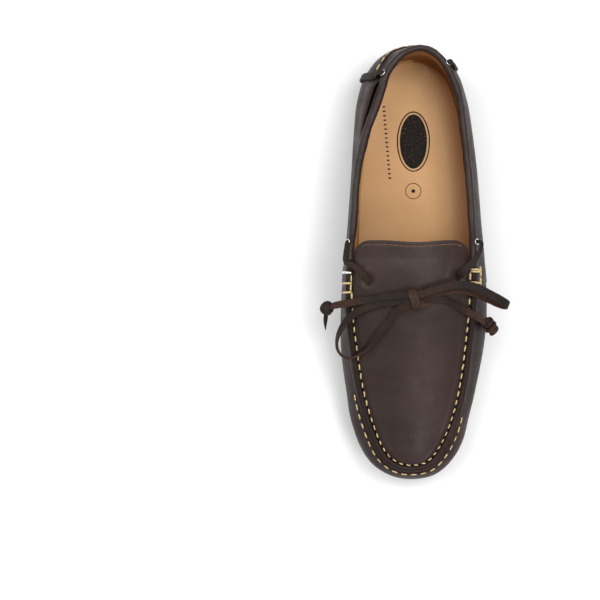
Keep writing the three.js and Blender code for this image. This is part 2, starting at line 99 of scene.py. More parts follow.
# Widest outline x, y, how far the sole's edge tucks in under it, and the rim x, y, z.
SECTIONS = np.array(
    [
        [0.8, 139.6, 6, 3, 136, 62], [15.5, 136.3, 6, 13.3, 132.3, 61.5],
        [28.3, 125, 7, 21.9, 121.5, 60.5],
        [35.6, 106, 7, 28.2, 105.5, 58], [39.8, 83, 8, 31.7, 83, 54.5],
        [43.2, 55, 9, 35.2, 55, 51.5],
        [45.5, 25, 9, 37.1, 25, 53.5], [47.5, 0, 8, 37.7, 0, 60], [49.2, -27, 8, 38, -27, 54],
        [48, -52, 8, 36.4, -51, 47], [42.9, -81, 7, 33.3, -78.5, 40.5],
        [37.4, -103.3, 7, 28.5, -100.4, 36.5],
        [29.3, -124.6, 6, 21.2, -119, 34], [16.2, -138.2, 6, 11.5, -131.6, 32.5],
        [0, -142, 6, 0, -134.8, 32],
        [-14.5, -139.2, 6, -11, -133, 32.5], [-27, -130.4, 6, -20.3, -125.2, 34],
        [-36, -113.5, 7, -27.7, -109.3, 36.5],
        [-42.6, -87, 7, -34.9, -84.8, 40.5], [-46.6, -57, 9, -39.7, -56, 47],
        [-46.6, -29, 10, -42.8, -28, 54],
        [-44.4, 0, 12, -42.3, 0, 60], [-42.2, 25, 12, -39.2, 25, 53.5],
        [-40, 55, 10, -37.1, 55, 51.5],
        [-38.3, 83, 9, -31.8, 83, 54.5], [-36, 106, 7, -24.7, 105.5, 58],
        [-29.5, 124, 7, -18.2, 121, 60.5],
        [-15.4, 136.3, 6, -8.9, 131.8, 61.5],
    ],
    float,
)
TURN = len(SECTIONS)
OUTLINE, RIM = [0, 1, 2], [3, 4, 5]
TOE = 14
BULGE_SHARE = 0.42  # the height of the widest line, as a share of the rim's
WALL_CURVE = 2.2
TOE_SPRING = 7
SPRING_START = 55
SHOE_HALF = 141
WALL_FOOT = 6.8  # the height where the wall meets the sole
APRON_MARGIN = 2.3
INSTEP_DOME = 13


def spline(before, here, after, beyond, f):
    """A place on the smooth curve from here to after, f being 0 to 1 along it."""
    leave, arrive = (after - before) / 2, (beyond - here) / 2
    square = 3 * (after - here) - 2 * leave - arrive
    cube = 2 * (here - after) + leave + arrive
    return here + leave * f + square * f**2 + cube * f**3


def on_loop(columns, section):
    s = np.asarray(section, float) % TURN
    i = np.floor(s).astype(int)
    f = (s - i)[..., None]
    return spline(*(SECTIONS[(i + k) % TURN][..., columns] for k in (-1, 0, 1, 2)), f)


def smoothstep(x, low, high):
    t = np.clip((x - low) / (high - low), 0, 1)
    return t * t * (3 - 2 * t)


def hump(x, middle, wide):
    """1 at the middle, fading to 0 on both sides."""
    return np.exp(-(((x - middle) / wide) ** 2))


def unit(v):
    return v / np.maximum(np.linalg.norm(v, axis=-1, keepdims=True), 1e-9)


def inward(columns, section):
    section, step = np.asarray(section), 0.02
    along = on_loop(columns, section + step) - on_loop(columns, section - step)
    return unit(np.stack([along[..., 1], -along[..., 0], 0 * along[..., 0]], -1))


def lifted(p):
    p = np.array(p, float)
    past = np.maximum(0, -p[..., 1] - SPRING_START) / (SHOE_HALF - SPRING_START)
    p[..., 2] += TOE_SPRING * past**2
    return p


def rim_point(section):
    return on_loop(RIM, section)


def rim_height(section):
    return rim_point(section)[..., 2]


def wall_face(section, z):
    section, z = np.broadcast_arrays(np.asarray(section, float), np.asarray(z, float))
    outline, rim = on_loop(OUTLINE, section), on_loop(RIM, section)
    tuck, top = outline[..., 2].copy(), rim[..., 2].copy()
    bulge = top * BULGE_SHARE
    outline[..., 2] = rim[..., 2] = z
    under = np.clip((bulge - z) / (bulge - WALL_FOOT), 0, None)
    over = np.clip((z - bulge) / (top - bulge), 0, None) ** WALL_CURVE
    low = outline + inward(OUTLINE, section) * (tuck * under**2)[..., None]
    high = outline + (rim - outline) * over[..., None]
    return np.where((z < bulge)[..., None], low, high)


def wall(section, z, depth=0.0):
    step = 0.05
    section, z = np.asarray(section, float), np.asarray(z, float)
    along = wall_face(section + step, z) - wall_face(section - step, z)
    up = wall_face(section, z + step) - wall_face(section, z - step)
    inside = unit(np.cross(along, up))
    depth = np.asarray(depth, float)
    return lifted(wall_face(section, z) + inside * depth[..., None])


def apron_edges(back):
    return [
        rim_point(s) + inward(RIM, s) * APRON_MARGIN
        for s in (TOE - np.asarray(back, float), TOE + np.asarray(back, float))
    ]


# ---- Meshes ----


def new_piece(name, vertices, faces, smooth=True):
    mesh = bpy.data.meshes.new(name)
    mesh.from_pydata([tuple(v) for v in np.asarray(vertices) * MM], [], faces)
    mesh.validate()
    if smooth:
        mesh.shade_smooth()
    piece = bpy.data.objects.new(name, mesh)
    bpy.context.scene.collection.objects.link(piece)
    return piece


def grid_faces(rows, columns, loop_rows=False, loop_columns=False):
    faces = []
    for i in range(rows if loop_rows else rows - 1):
        for j in range(columns if loop_columns else columns - 1):
            i2, j2 = (i + 1) % rows, (j + 1) % columns
            faces.append([a * columns + b for a, b in ((i, j), (i2, j), (i2, j2), (i, j2))])
    return faces


def tube_faces(rings, sides):
    """Faces of a tube of rings, closed at both ends."""
    last = (rings - 1) * sides
    ends = [list(range(sides))[::-1], [last + j for j in range(sides)]]
    return grid_faces(rings, sides, False, True) + ends


def circle(first, second, sides):
    """Points round a circle, or an ellipse, from the two arrows that span it."""
    turns = 2 * np.pi * np.arange(sides) / sides
    return np.outer(np.cos(turns), first) + np.outer(np.sin(turns), second)


def weld(piece, distance=0.02):
    work = bmesh.new()
    work.from_mesh(piece.data)
    bmesh.ops.remove_doubles(work, verts=work.verts, dist=distance * MM)
    bmesh.ops.recalc_face_normals(work, faces=work.faces)
    work.to_mesh(piece.data)
    work.free()
    piece.data.shade_smooth()


def sheet_piece(name, points, thickness, out, loop_rows=False, burnish_and_shade=None):
    """A leather panel from a grid of points on its outer face, which looks along out."""
    piece = new_piece(name, points.reshape(-1, 3), grid_faces(*points.shape[:2], loop_rows))
    weld(piece)
    face_outward(piece, out)
    solid = piece.modifiers.new("thickness", "SOLIDIFY")
    solid.thickness = thickness * MM
    solid.offset = -1
    # burnish_and_shade marks where a tan piece turns darker and redder: partly burnishing, and
    # partly painted shade.
    if burnish_and_shade is not None:
        mark(piece, "burnish_and_shade", points, burnish_and_shade)
    smooth_surface(piece)
    return piece


def face_outward(piece, out):
    """Turns the faces so that most look along out, a function from a place to a direction."""
    polygons = piece.data.polygons
    score = sum(p.normal.dot(out(p.center / MM)) * p.area for p in polygons)
    if score < 0:
        piece.data.flip_normals()


def from_spine(p):
    return Vector((p.x, p.y * 0.15 if abs(p.y) < 90 else p.y, 0)).normalized()


def upward(p):
    return Vector((0, 0, 1))


def set_attribute(piece, name, values):
    attribute = piece.data.attributes.new(name, "FLOAT", "POINT")
    attribute.data.foreach_set("value", np.asarray(values, np.float32))


def mark(piece, name, points, values):
    """Marks a welded mesh with a value at each point of the grid that it was made from."""
    flat = points.reshape(-1, 3)
    tree = kdtree.KDTree(len(flat))
    for i, point in enumerate(flat):
        tree.insert(point, i)
    tree.balance()
    found = [values.flat[tree.find(v.co / MM)[1]] for v in piece.data.vertices]
    set_attribute(piece, name, found)


def apply_modifiers(piece):
    graph = bpy.context.evaluated_depsgraph_get()
    mesh = bpy.data.meshes.new_from_object(piece.evaluated_get(graph))
    piece.modifiers.clear()
    piece.data = mesh


def smooth_surface(piece):
    smooth = piece.modifiers.new("smooth", "SUBSURF")
    smooth.levels = smooth.render_levels = 1
    apply_modifiers(piece)


# ---- Curves and sweeps ----


def through(points, count):
    """Points evenly spaced along a smooth curve through the given ones."""
    p = np.asarray(points, float)
    padded = np.vstack([2 * p[0] - p[1], p, 2 * p[-1] - p[-2]])
    dense = []
    for i in range(1, len(padded) - 2):
        dense += [spline(*padded[i - 1 : i + 3], f) for f in np.linspace(0, 1, 16, endpoint=False)]
    dense = np.array([*dense, p[-1]])
    return respaced(dense, count)


def respaced(points, count):
    travelled = lengths_along(points)
    at = np.linspace(0, travelled[-1], count)
    return np.stack([np.interp(at, travelled, points[:, k]) for k in range(points.shape[1])], 1)


def lengths_along(points):
    return np.concatenate([[0], np.cumsum(np.linalg.norm(np.diff(points[:, :3], axis=0), axis=1))])


def carried_frames(path, side):
    """Tangents and side directions along a path, the side turning no more than the path does."""
    tangents = unit(np.gradient(path, axis=0))
    sides = []
    side = np.asarray(side, float)
    for t in tangents:
        side = side - t * np.dot(side, t)
        side = side / np.linalg.norm(side)
        sides.append(side)
    return tangents, np.array(sides)


def rounded_section(width, thick, corner):
    """A flat thong's section: points round a rectangle with round corners."""
    points = []
    for cx, cy, turn in ((1, 1, 0), (-1, 1, 90), (-1, -1, 180), (1, -1, 270)):
        for a in (0, 30, 60, 90):
            angle = math.radians(turn + a)
            points.append(
                (
                    cx * (width / 2 - corner) + corner * math.cos(angle),
                    cy * (thick / 2 - corner) + corner * math.sin(angle),
                )
            )
    return np.array(points)


LACE = {"width": 5, "thick": 1.8, "corner": 0.6}
LACE_SECTION = rounded_section(LACE["width"], LACE["thick"], LACE["corner"])


def thong(
    name,
    path,
    side,
    twist=(0, 0),
    section=LACE_SECTION,
    scale=None,
    loop=False,
    wear=0.0,
    rough=1.0,
):
    """A flat lace along a path.

    side is the way its width lies, at the start or at each point, and twist gives angles in degrees
    spread evenly along it. wear is how rubbed its grain side is, for each point, and rough is how
    brown its other side is.
    """
    side = np.asarray(side, float)
    count = len(path)
    if side.ndim == 1 and not loop:
        tangents, sides = carried_frames(path, side)
    else:
        around = np.roll(path, -1, 0) - np.roll(path, 1, 0)
        tangents = unit(around if loop else np.gradient(path, axis=0))
        sides = np.broadcast_to(side, path.shape)
        sides = unit(sides - tangents * (sides * tangents).sum(1)[:, None])
    angles = np.radians(np.interp(np.linspace(0, 1, count), np.linspace(0, 1, len(twist)), twist))
    scale = np.ones(count) if scale is None else scale
    ring = len(section)
    vertices = []
    for i in range(count):
        up = np.cross(tangents[i], sides[i])
        c, s = math.cos(angles[i]), math.sin(angles[i])
        across, over = sides[i] * c + up * s, up * c - sides[i] * s
        wave = 1 + 0.03 * math.sin(i * 1.7) * math.sin(i * 0.31)
        for x, y in section * scale[i]:
            vertices.append(path[i] + across * x * wave + over * y)
    faces = grid_faces(count, ring, True, True) if loop else tube_faces(count, ring)
    piece = new_piece(name, vertices, faces)
    mark_edges(piece, section, np.broadcast_to(wear, count), rough)
    weld(piece, 0.0001)
    return piece


def mark_edges(piece, section, wear, rough):
    """Marks the cut sides of a thong, and its rough side and rubbed places, for their colours."""
    half, thick = section.max(0)
    cut_edge = np.clip((np.abs(section[:, 0]) / half - 0.85) / 0.15, 0, 1)
    rough_side = rough * np.clip(0.5 - section[:, 1] / thick, 0, 1)
    set_attribute(piece, "cut_edge", np.tile(cut_edge, len(wear)))
    set_attribute(piece, "rough_side", np.maximum(rough_side[None], wear[:, None]).ravel())


def flat_sides(path):
    """Level directions square to a path, for a lace that lies flat."""
    tangents = unit(np.gradient(path, axis=0))
    return unit(np.cross(tangents, (0, 0, 1)))


# ---- Materials ----


def material(name, colour, roughness, **sockets):
    m = bpy.data.materials.new(name)
    m.use_nodes = True
    shader = m.node_tree.nodes["Principled BSDF"]
    shader.inputs["Base Color"].default_value = (*colour, 1)
    shader.inputs["Roughness"].default_value = roughness
    for key, value in sockets.items():
        shader.inputs[key.replace("_", " ")].default_value = value
    return m


class Nodes:
    """Short ways to add and join shader nodes."""

    def __init__(self, m):
        self.tree = m.node_tree
        self.shader = m.node_tree.nodes["Principled BSDF"]
        self.place = self.add("ShaderNodeTexCoord").outputs["Object"]

    def add(self, kind, **values):
        node = self.tree.nodes.new(kind)
        for key, value in values.items():
            setattr(node, key, value)
        return node

    def join(self, source, target):
        self.tree.links.new(source, target)

    def attribute(self, name):
        return self.add("ShaderNodeAttribute", attribute_name=name).outputs["Fac"]

    def texture(self, kind, *values, **settings):
        """The outputs of a texture laid in the piece's own axes."""
        node = self.add(kind, **settings)
        self.join(self.place, node.inputs["Vector"])
        for key, value in values:
            node.inputs[key].default_value = value
        return node.outputs

    def noise(self, scale, detail=3, rough=0.5):
        values = ("Scale", scale), ("Detail", detail), ("Roughness", rough)
        return self.texture("ShaderNodeTexNoise", *values)["Fac"]

    def cells(self, scale):
        return self.texture("ShaderNodeTexVoronoi", ("Scale", scale))["Distance"]

    def ramp(self, source, *stops):
        node = self.add("ShaderNodeValToRGB")
        elements = node.color_ramp.elements
        while len(elements) < len(stops):
            elements.new(0.5)
        for element, (place, colour) in zip(elements, stops):
            element.position = place
            element.color = (*colour, 1)
        self.join(source, node.inputs["Fac"])
        return node.outputs["Color"]

    def mix(self, factor, a, b):
        node = self.add("ShaderNodeMix", data_type="RGBA")
        for value, socket in ((factor, 0), (a, 6), (b, 7)):
            self.feed(value, node.inputs[socket])
        return node.outputs[2]

    def feed(self, value, socket):
        if isinstance(value, bpy.types.NodeSocket):
            self.join(value, socket)
        elif isinstance(value, tuple):
            socket.default_value = (*value, 1)
        else:
            socket.default_value = value

    def spread(self, source, low, high, to_low=0.0, to_high=1.0):
        node = self.add("ShaderNodeMapRange")
        keys = ("From Min", "From Max", "To Min", "To Max")
        for key, value in zip(keys, (low, high, to_low, to_high)):
            node.inputs[key].default_value = value
        self.join(source, node.inputs["Value"])
        return node.outputs["Result"]

    def sum(self, *weighted):
        total = None
        for source, weight in weighted:
            node = self.add("ShaderNodeMath", operation="MULTIPLY_ADD")
            self.join(source, node.inputs[0])
            node.inputs[1].default_value = weight
            if total is None:
                node.inputs[2].default_value = 0
            else:
                self.join(total, node.inputs[2])
            total = node.outputs[0]
        return total

    def bump(self, height, strength, distance):
        node = self.add("ShaderNodeBump")
        node.inputs["Strength"].default_value = strength
        node.inputs["Distance"].default_value = distance * MM
        self.join(height, node.inputs["Height"])
        self.join(node.outputs["Normal"], self.shader.inputs["Normal"])

    def colour(self, source):
        self.join(source, self.shader.inputs["Base Color"])

    def roughness(self, source):
        self.join(source, self.shader.inputs["Roughness"])


def leather(name, deep, main, worn, rough, gloss=0.3):
    """Waxed pull-up leather: cloudy colour, fine pores, faint creases, and rubbed edges."""
    m = material(name, main, 0.5, Specular_IOR_Level=gloss)
    m.node_tree.nodes["Principled BSDF"].inputs["Specular Tint"].default_value = (1, 0.86, 0.82, 1)
    n = Nodes(m)
    clouds = n.noise(26, 4, 0.55)
    fleck = n.noise(420, 2, 0.6)
    base = n.ramp(clouds, (0.32, deep), (0.52, main), (0.72, worn))
    base = n.mix(n.spread(fleck, 0.35, 0.7, 0, 0.35), base, deep)
    warm = n.spread(n.noise(17, 3, 0.5), 0.45, 0.7, 0, 0.55)
    base = n.mix(warm, base, (1.25 * main[0], 0.85 * main[1], 0.8 * main[2]))
    edge = n.add("ShaderNodeNewGeometry").outputs["Pointiness"]
    rubbed = n.spread(edge, 0.53, 0.62, 0, 0.45)
    n.colour(n.mix(rubbed, base, tuple(min(1, 1.7 * c) for c in worn)))
    n.roughness(n.spread(n.noise(60, 4, 0.6), 0.3, 0.7, *rough))
    pores = n.cells(1500)
    creases = n.noise(300, 5, 0.65)
    n.bump(n.sum((pores, 0.6), (creases, 0.8)), 0.35, 0.12)
    return m


def lace_leather():
    """A dark grain side, and a reddish brown rough side and cut edges."""
    m = material("lace_leather", (0.012, 0.009, 0.008), 0.6, Specular_IOR_Level=0.16)
    n = Nodes(m)
    clouds = n.noise(90, 4, 0.6)
    fibres = n.noise(600, 4, 0.7)
    grain = n.ramp(clouds, (0.3, (0.011, 0.008, 0.0066)), (0.75, (0.026, 0.0165, 0.0125)))
    rough = n.ramp(fibres, (0.3, (0.02, 0.0095, 0.006)), (0.72, (0.062, 0.029, 0.018)))
    cut = n.ramp(fibres, (0.3, (0.02, 0.01, 0.007)), (0.7, (0.07, 0.034, 0.022)))
    worn = n.spread(n.noise(45, 3, 0.6), 0.45, 0.7, 0, 0.45)
    side, edge = n.attribute("rough_side"), n.attribute("cut_edge")
    faces = n.mix(n.spread(side, 0.3, 0.8), n.mix(worn, grain, rough), rough)
    n.colour(n.mix(n.spread(edge, 0.2, 1, 0, 0.7), faces, cut))
    n.roughness(n.spread(clouds, 0.3, 0.7, 0.55, 0.8))
    n.bump(n.sum((n.noise(900, 4, 0.6), 1.0), (n.cells(1300), 0.4)), 0.6, 0.2)
    return m


def tan_leather(name, deep, main, pale, burnt_and_shaded=None):
    """Smooth vegetable-tanned leather, darker and redder where its mesh is marked by
    burnish_and_shade: partly burnishing, and partly painted shade.
    """
    m = material(name, main, 0.5, Specular_IOR_Level=0.2)
    n = Nodes(m)
    clouds = n.noise(14, 3, 0.5)
    base = n.ramp(clouds, (0.3, deep), (0.55, main), (0.8, pale))
    specks = n.spread(n.noise(700, 2, 0.6), 0.45, 0.75, 0, 0.25)
    base = n.mix(specks, base, deep)
    if burnt_and_shaded:
        base = n.mix(n.attribute("burnish_and_shade"), base, burnt_and_shaded)
    n.colour(base)
    n.roughness(n.spread(n.noise(45, 3, 0.5), 0.3, 0.7, 0.42, 0.6))
    n.bump(n.sum((n.cells(1700), 0.5), (n.noise(500, 4, 0.6), 0.6)), 0.25, 0.08)
    return m


def twisted_thread(name, deep, main, pale, pitch):
    """Plied waxed thread: slanting strands along the stitch."""
    m = material(name, main, 0.65, Sheen_Weight=0.15)
    n = Nodes(m)
    bands = {"wave_type": "BANDS", "bands_direction": "DIAGONAL"}
    wave = n.texture("ShaderNodeTexWave", ("Scale", pitch), ("Distortion", 1.5), **bands)["Fac"]
    n.colour(n.ramp(wave, (0.1, deep), (0.45, main), (0.9, pale)))
    n.bump(wave, 0.7, 0.15)
    return m


def rubber():
    m = material("sole_rubber", (0.022, 0.016, 0.014), 0.75, Specular_IOR_Level=0.35)
    n = Nodes(m)
    clouds = n.noise(120, 4, 0.6)
    n.colour(n.ramp(clouds, (0.3, (0.014, 0.011, 0.01)), (0.7, (0.034, 0.024, 0.02))))
    n.roughness(n.spread(clouds, 0.3, 0.7, 0.65, 0.85))
    n.bump(n.noise(1600, 3, 0.6), 0.3, 0.1)
    return m


def nickel():
    m = material("nickel", (0.82, 0.82, 0.8), 0.22, Metallic=1)
    n = Nodes(m)
    n.roughness(n.spread(n.noise(900, 3, 0.6), 0.3, 0.7, 0.16, 0.34))
    n.bump(n.noise(1400, 2, 0.5), 0.08, 0.05)
    return m


def ink():
    m = material("ink", (0.012, 0.01, 0.009), 0.8, Specular_IOR_Level=0.12)
    n = Nodes(m)
    worn = n.spread(n.noise(650, 3, 0.7), 0.55, 0.72, 0, 0.5)
    n.colour(n.mix(worn, (0.012, 0.01, 0.009), (0.16, 0.09, 0.045)))
    return m


UPPER = leather(
    "upper_leather",
    (0.02, 0.0126, 0.0113),
    (0.0285, 0.0188, 0.0173),
    (0.041, 0.0262, 0.0235),
    rough=(0.4, 0.54),
)
# The wall and vamp leathers are darker than the upper's partly as painted shade, for the side walls
# that stand in shade.
WALL_LEATHER = leather(
    "wall_leather",
    (0.0105, 0.007, 0.006),
    (0.018, 0.0115, 0.0098),
    (0.032, 0.0185, 0.015),
    rough=(0.42, 0.6),
    gloss=0.17,
)
VAMP_LEATHER = leather(
    "vamp_leather",
    (0.01, 0.0066, 0.0056),
    (0.0172, 0.011, 0.0097),
    (0.03, 0.0178, 0.0148),
    rough=(0.45, 0.6),
    gloss=0.16,
)
COLLAR_LEATHER = leather(
    "collar_leather",
    (0.012, 0.009, 0.008),
    (0.02, 0.0145, 0.013),
    (0.034, 0.023, 0.02),
    rough=(0.38, 0.55),
    gloss=0.34,
)
GUARD_LEATHER = leather(
    "guard_leather",
    (0.013, 0.0075, 0.006),
    (0.0215, 0.0125, 0.01),
    (0.036, 0.021, 0.0165),
    rough=(0.45, 0.62),
    gloss=0.16,
)
LACE_LEATHER = lace_leather()
# Where burnish_and_shade leads the tan: partly burnished leather, and partly painted shade on the
# insole and the lining.
BURNT_AND_SHADED_TAN = (0.2, 0.062, 0.011)
TAN = tan_leather(
    "tan_leather", (0.49, 0.27, 0.11), (0.58, 0.338, 0.155), (0.64, 0.39, 0.185), BURNT_AND_SHADED_TAN
)
# The lining's tan is darker and redder than the insole's: painted shade.
SHADED_LINING_TAN = tan_leather(
    "shaded_lining_tan", (0.42, 0.2, 0.07), (0.5, 0.26, 0.1), (0.55, 0.3, 0.12), BURNT_AND_SHADED_TAN
)
VAMP_TAN = tan_leather("vamp_tan", (0.2, 0.09, 0.025), (0.26, 0.12, 0.035), (0.32, 0.15, 0.05))
THREAD = twisted_thread("thread", (0.42, 0.3, 0.125), (0.6, 0.43, 0.19), (0.7, 0.53, 0.27), 260)
FINE_THREAD = twisted_thread(
    "fine_thread", (0.06, 0.022, 0.012), (0.15, 0.055, 0.03), (0.2, 0.085, 0.05), 500
)
RUBBER = rubber()
NICKEL = nickel()
INK = ink()


def finish_piece(piece, body, surface, slot, *nodes):
    """Gives a piece its surface and its body. Its name comes from the CAD nodes it stands for."""
    if nodes:
        piece.name = nodes[0] + "_looks"
    piece.data.materials.clear()
    piece.data.materials.append(surface)
    if body:
        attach(piece, body)
    if nodes:
        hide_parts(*nodes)
    return piece


# ---- The bow: free cords ----

# The lace's middle, from the knot outwards, as the CAD has it.
BOW_ROUTES = {
    "bow_tail_inner": [
        (-8.6, -21.8, 71.2), (-13.5, -22.3, 69.8), (-20, -23, 67.4), (-25, -23.8, 65.3),
        (-29.6, -24.7, 63.1), (-33, -25.3, 61.8), (-36.5, -25.9, 60.5), (-40, -26.5, 58.8),
        (-44, -27.2, 56.6), (-48, -27.8, 53.4), (-51.3, -28.5, 50.4), (-53.6, -29.2, 47.8),
    ],
    "bow_loop_inner": [
        (-8.6, -25.3, 69.3), (-14, -26.2, 67.9), (-20, -27, 66), (-25.8, -28.2, 63.9),
        (-32, -30.3, 61), (-37.6, -33.1, 58), (-42, -36.5, 55.2), (-46, -41.5, 52.4),
        (-49, -47.5, 50.4), (-50, -53, 48.9), (-49, -58, 48.1), (-45.5, -61.8, 48),
        (-41, -62.6, 48.9), (-36.5, -60.5, 50.2), (-29.4, -54.3, 54.6), (-21.3, -44.4, 60.4),
        (-17, -38.5, 63.3), (-13.4, -33.1, 65.8), (-10, -30.2, 67.5), (-7.2, -29.3, 69.2),
    ],
    "bow_tail_outer": [
        (4.8, -25.8, 70.2), (10, -25, 67.6), (14, -24.6, 66.4), (18.2, -24.8, 65),
        (22, -26, 63), (26, -28, 60.8), (31, -30.6, 58.2), (34.8, -33, 55.8),
        (38.5, -35, 53), (42, -37, 49.6), (44.8, -38.6, 46), (46.4, -39.6, 43.6),
    ],
    "bow_loop_outer": [
        (4.8, -21, 73.8), (10, -19, 73.2), (18, -16.8, 71.8), (25.5, -15.4, 70),
        (31.5, -15.4, 68.4), (37.6, -16.6, 66.6), (43.5, -19, 64.6), (49, -21.8, 61.8),
        (54.6, -24.6, 58.6), (59.6, -27.6, 54.4), (59.4, -28.8, 50), (54.8, -27.6, 47.8),
        (49.4, -25.2, 49.6), (44.5, -23, 52.4), (41, -21.5, 55.4), (37.5, -20.3, 58.4),
        (31.5, -19.2, 61.3), (25.5, -18.8, 63.8), (18, -19.6, 66.7), (10, -20.8, 68.8),
        (4.8, -21.4, 70.2),
    ],
}

# How the lace's width lies at the knot, and its twist from the knot outwards, in degrees.
BOW_LAY = {
    "bow_tail_inner": ((0, -1, 0), (0, 8, 16, 25, 40)),
    "bow_tail_outer": ((0.1, 1, 0), (0, -5, -15, -20, -30)),
    "bow_loop_outer": ((0.12, 1, 0), (0, 4, -3, 0, 2)),
}
# The inner loop's width turns up from level along it, in degrees: flat, on edge, and flat again.
LOOP_TURN = ((0, 0.2, 0.36, 0.46, 0.62, 0.74, 1), (0, 5, 50, 86, 92, 150, 172))


def barrel_knot(name, centre, axis, radius, length, wraps, tip=None):
    """A stopper knot: the lace wound round itself, over a core, with its end drawn through."""
    centre, axis = np.array(centre, float), unit(np.array(axis, float))
    first = unit(np.cross(axis, (0.1, 0.2, 1)))
    second = np.cross(axis, first)
    turns = np.linspace(0, wraps, 24 * wraps)
    share = turns / wraps
    wound = radius * (1 - 0.25 * (2 * share - 1) ** 4)
    path = (
        centre
        + np.outer((share - 0.5) * (length - 3), axis)
        + np.outer(wound * np.cos(2 * np.pi * turns), first)
        + np.outer(wound * np.sin(2 * np.pi * turns), second)
    )
    parts = [
        thong(name, path, axis, section=rounded_section(3.4, 1.9, 0.7)),
        ball(centre, (radius + 0.2, radius + 0.2, length / 2), axis),
    ]
    cross = [
        centre - axis * length * 0.42 + second * radius * 0.9,
        centre + first * (radius + 1.2) + second * 0.4,
        centre + axis * length * 0.4 - second * radius * 0.8,
    ]
    band = rounded_section(3, 1.6, 0.6)
    parts.append(thong("cross", through(cross, 24), axis + second, section=band))
    if tip is not None:
        path, band = through(tip, 30), rounded_section(3.6, 1.7, 0.6)
        narrow = np.interp(np.linspace(0, 1, len(path)), (0, 0.5, 1), (0.9, 0.75, 0.12))
        parts.append(thong("tip", path, (1, 0, 0), section=band, scale=narrow))
    return joined(name, parts)


def ball(centre, radii, axis=(0, 0, 1)):
    """An ellipsoid, its third radius along an axis."""
    rings, sides = 14, 22
    centre, axis = np.array(centre, float), unit(np.array(axis, float))
    first = unit(np.cross(axis, (0.31, 1, 0.2)))
    second = np.cross(axis, first)
    vertices = []
    for down in np.pi * (np.arange(rings) + 0.5) / rings:
        ring = circle(first * radii[0], second * radii[1], sides) * math.sin(down)
        vertices += list(centre + ring + axis * radii[2] * math.cos(down))
    piece = new_piece("ball", vertices, tube_faces(rings, sides))
    weld(piece, 0.0001)
    return piece


def joined(name, parts):
    """The parts as one piece."""
    for part in parts:
        apply_modifiers(part)
    for o in bpy.context.view_layer.objects:
        o.select_set(o in parts)
    bpy.context.view_layer.objects.active = parts[0]
    if len(parts) > 1:
        bpy.ops.object.join()
    parts[0].name = name
    return parts[0]


STOPPERS = {
    "bow_tail_inner": ("stopper_knot_inner", (-56.2, -30.2, 44.4), (0.35, 0.25, 1), 2.8, 9, 3),
    "bow_tail_outer": ("stopper_knot_outer", (49.8, -41.9, 40.2), (0.5, -0.75, -0.4), 2.9, 12, 3),
}
INNER_TIP = [(-56.4, -31.5, 43.6), (-57, -36.5, 41), (-57.2, -41, 38.6), (-57, -44.6, 36)]


def turned_sides(path, degrees):
    """Directions square to a path, turned up from level so far at each point."""
    level, angle = flat_sides(path), np.radians(degrees)[:, None]
    over = np.cross(unit(np.gradient(path, axis=0)), level)
    return -np.cos(angle) * level - np.sin(angle) * over


def make_bow():
    for name, route in BOW_ROUTES.items():
        path = through(route, 6 * len(route))
        along = np.linspace(0, 1, len(path))
        if name == "bow_loop_inner":
            side, twist = turned_sides(path, np.interp(along, *LOOP_TURN)), (0, 0)
        else:
            side, twist = BOW_LAY[name]
        wear = 0.8 * smoothstep(along, 0.3, 0.75) if name in STOPPERS else 0.0
        rough = 0.2 if name == "bow_loop_inner" else 1.0
        lace = thong(name, path, side, twist, wear=wear, rough=rough)
        smooth_surface(lace)
        body = "bow_inner" if name.endswith("inner") else "bow_outer"
        finish_piece(lace, body, LACE_LEATHER, "lace_leather", name)
        if name in STOPPERS:
            knot_name, *shape = STOPPERS[name]
            tip = INNER_TIP if name == "bow_tail_inner" else None
            knot = barrel_knot(knot_name, *shape, tip=tip)
            finish_piece(knot, body, LACE_LEATHER, "lace_leather", knot_name)


make_bow()


KNOT_MIDDLE = np.array((-1.4, -24.3, 72.2))
KNOT_WRAP = (6, 3.7)  # half the wrap's length and height
# The laces over and under the wrap: points, how many places along them, how the width lies, the
# scale at both ends, and wear.
KNOT_RUNS = {
    "over": ([(-9.5, -21.9, 71), (-5, -22, 73.4), (0, -21.6, 74.2), (5.6, -21, 73.7)],
             30, (0, 1, 0), (1, 1), 0.0),
    "under": ([(-9.5, -25.4, 69.2), (-5, -25.6, 72.4), (0, -25.8, 72.6), (5.6, -25.7, 70)],
              30, (0, 1, 0), (1, 1), 0.0),
    "return": ([(-11, -31, 67.5), (-7.2, -29.2, 70), (-3.4, -27.4, 71.6), (0, -26, 71.8)],
               20, (-0.5, 0.85, 0), (1, 1), 0.45),
    "fold": ([(0.6, -26.8, 73.4), (5, -28.2, 72.6), (10, -27.4, 70.8)],
             20, (-0.1, -1, 0.2), (1, 0.4), 0.9),
    "end": ([(1.6, -27.4, 73.2), (4, -30, 71.8), (5, -31.6, 70)],
            16, (1, 0.5, 0), (0.8, 0.6), 0.9),
}


def make_bow_knot():
    """Both lace ends pass through the knot, and a slanting wrap holds them."""
    slant = unit(np.array((0.32, -0.95, 0)))
    width = np.array((0.95, 0.32, 0))
    wrap = KNOT_MIDDLE + circle(slant * KNOT_WRAP[0], np.array((0, 0, KNOT_WRAP[1])), 56)
    band = rounded_section(5.6, 1.7, 0.6)
    parts = [
        thong("wrap", wrap, width, section=band, loop=True, wear=0.75),
        ball(KNOT_MIDDLE, (4.6, 3.9, 3)),
    ]
    for name, (points, count, side, scale, wear) in KNOT_RUNS.items():
        scales = np.linspace(*scale, count)
        parts.append(thong(name, through(points, count), side, scale=scales, wear=wear))
    for part in parts:
        smooth_surface(part)
    finish_piece(joined("bow_knot", parts), "shoe", LACE_LEATHER, "lace_leather", "bow_knot")


make_bow_knot()

# ---- The walls ----


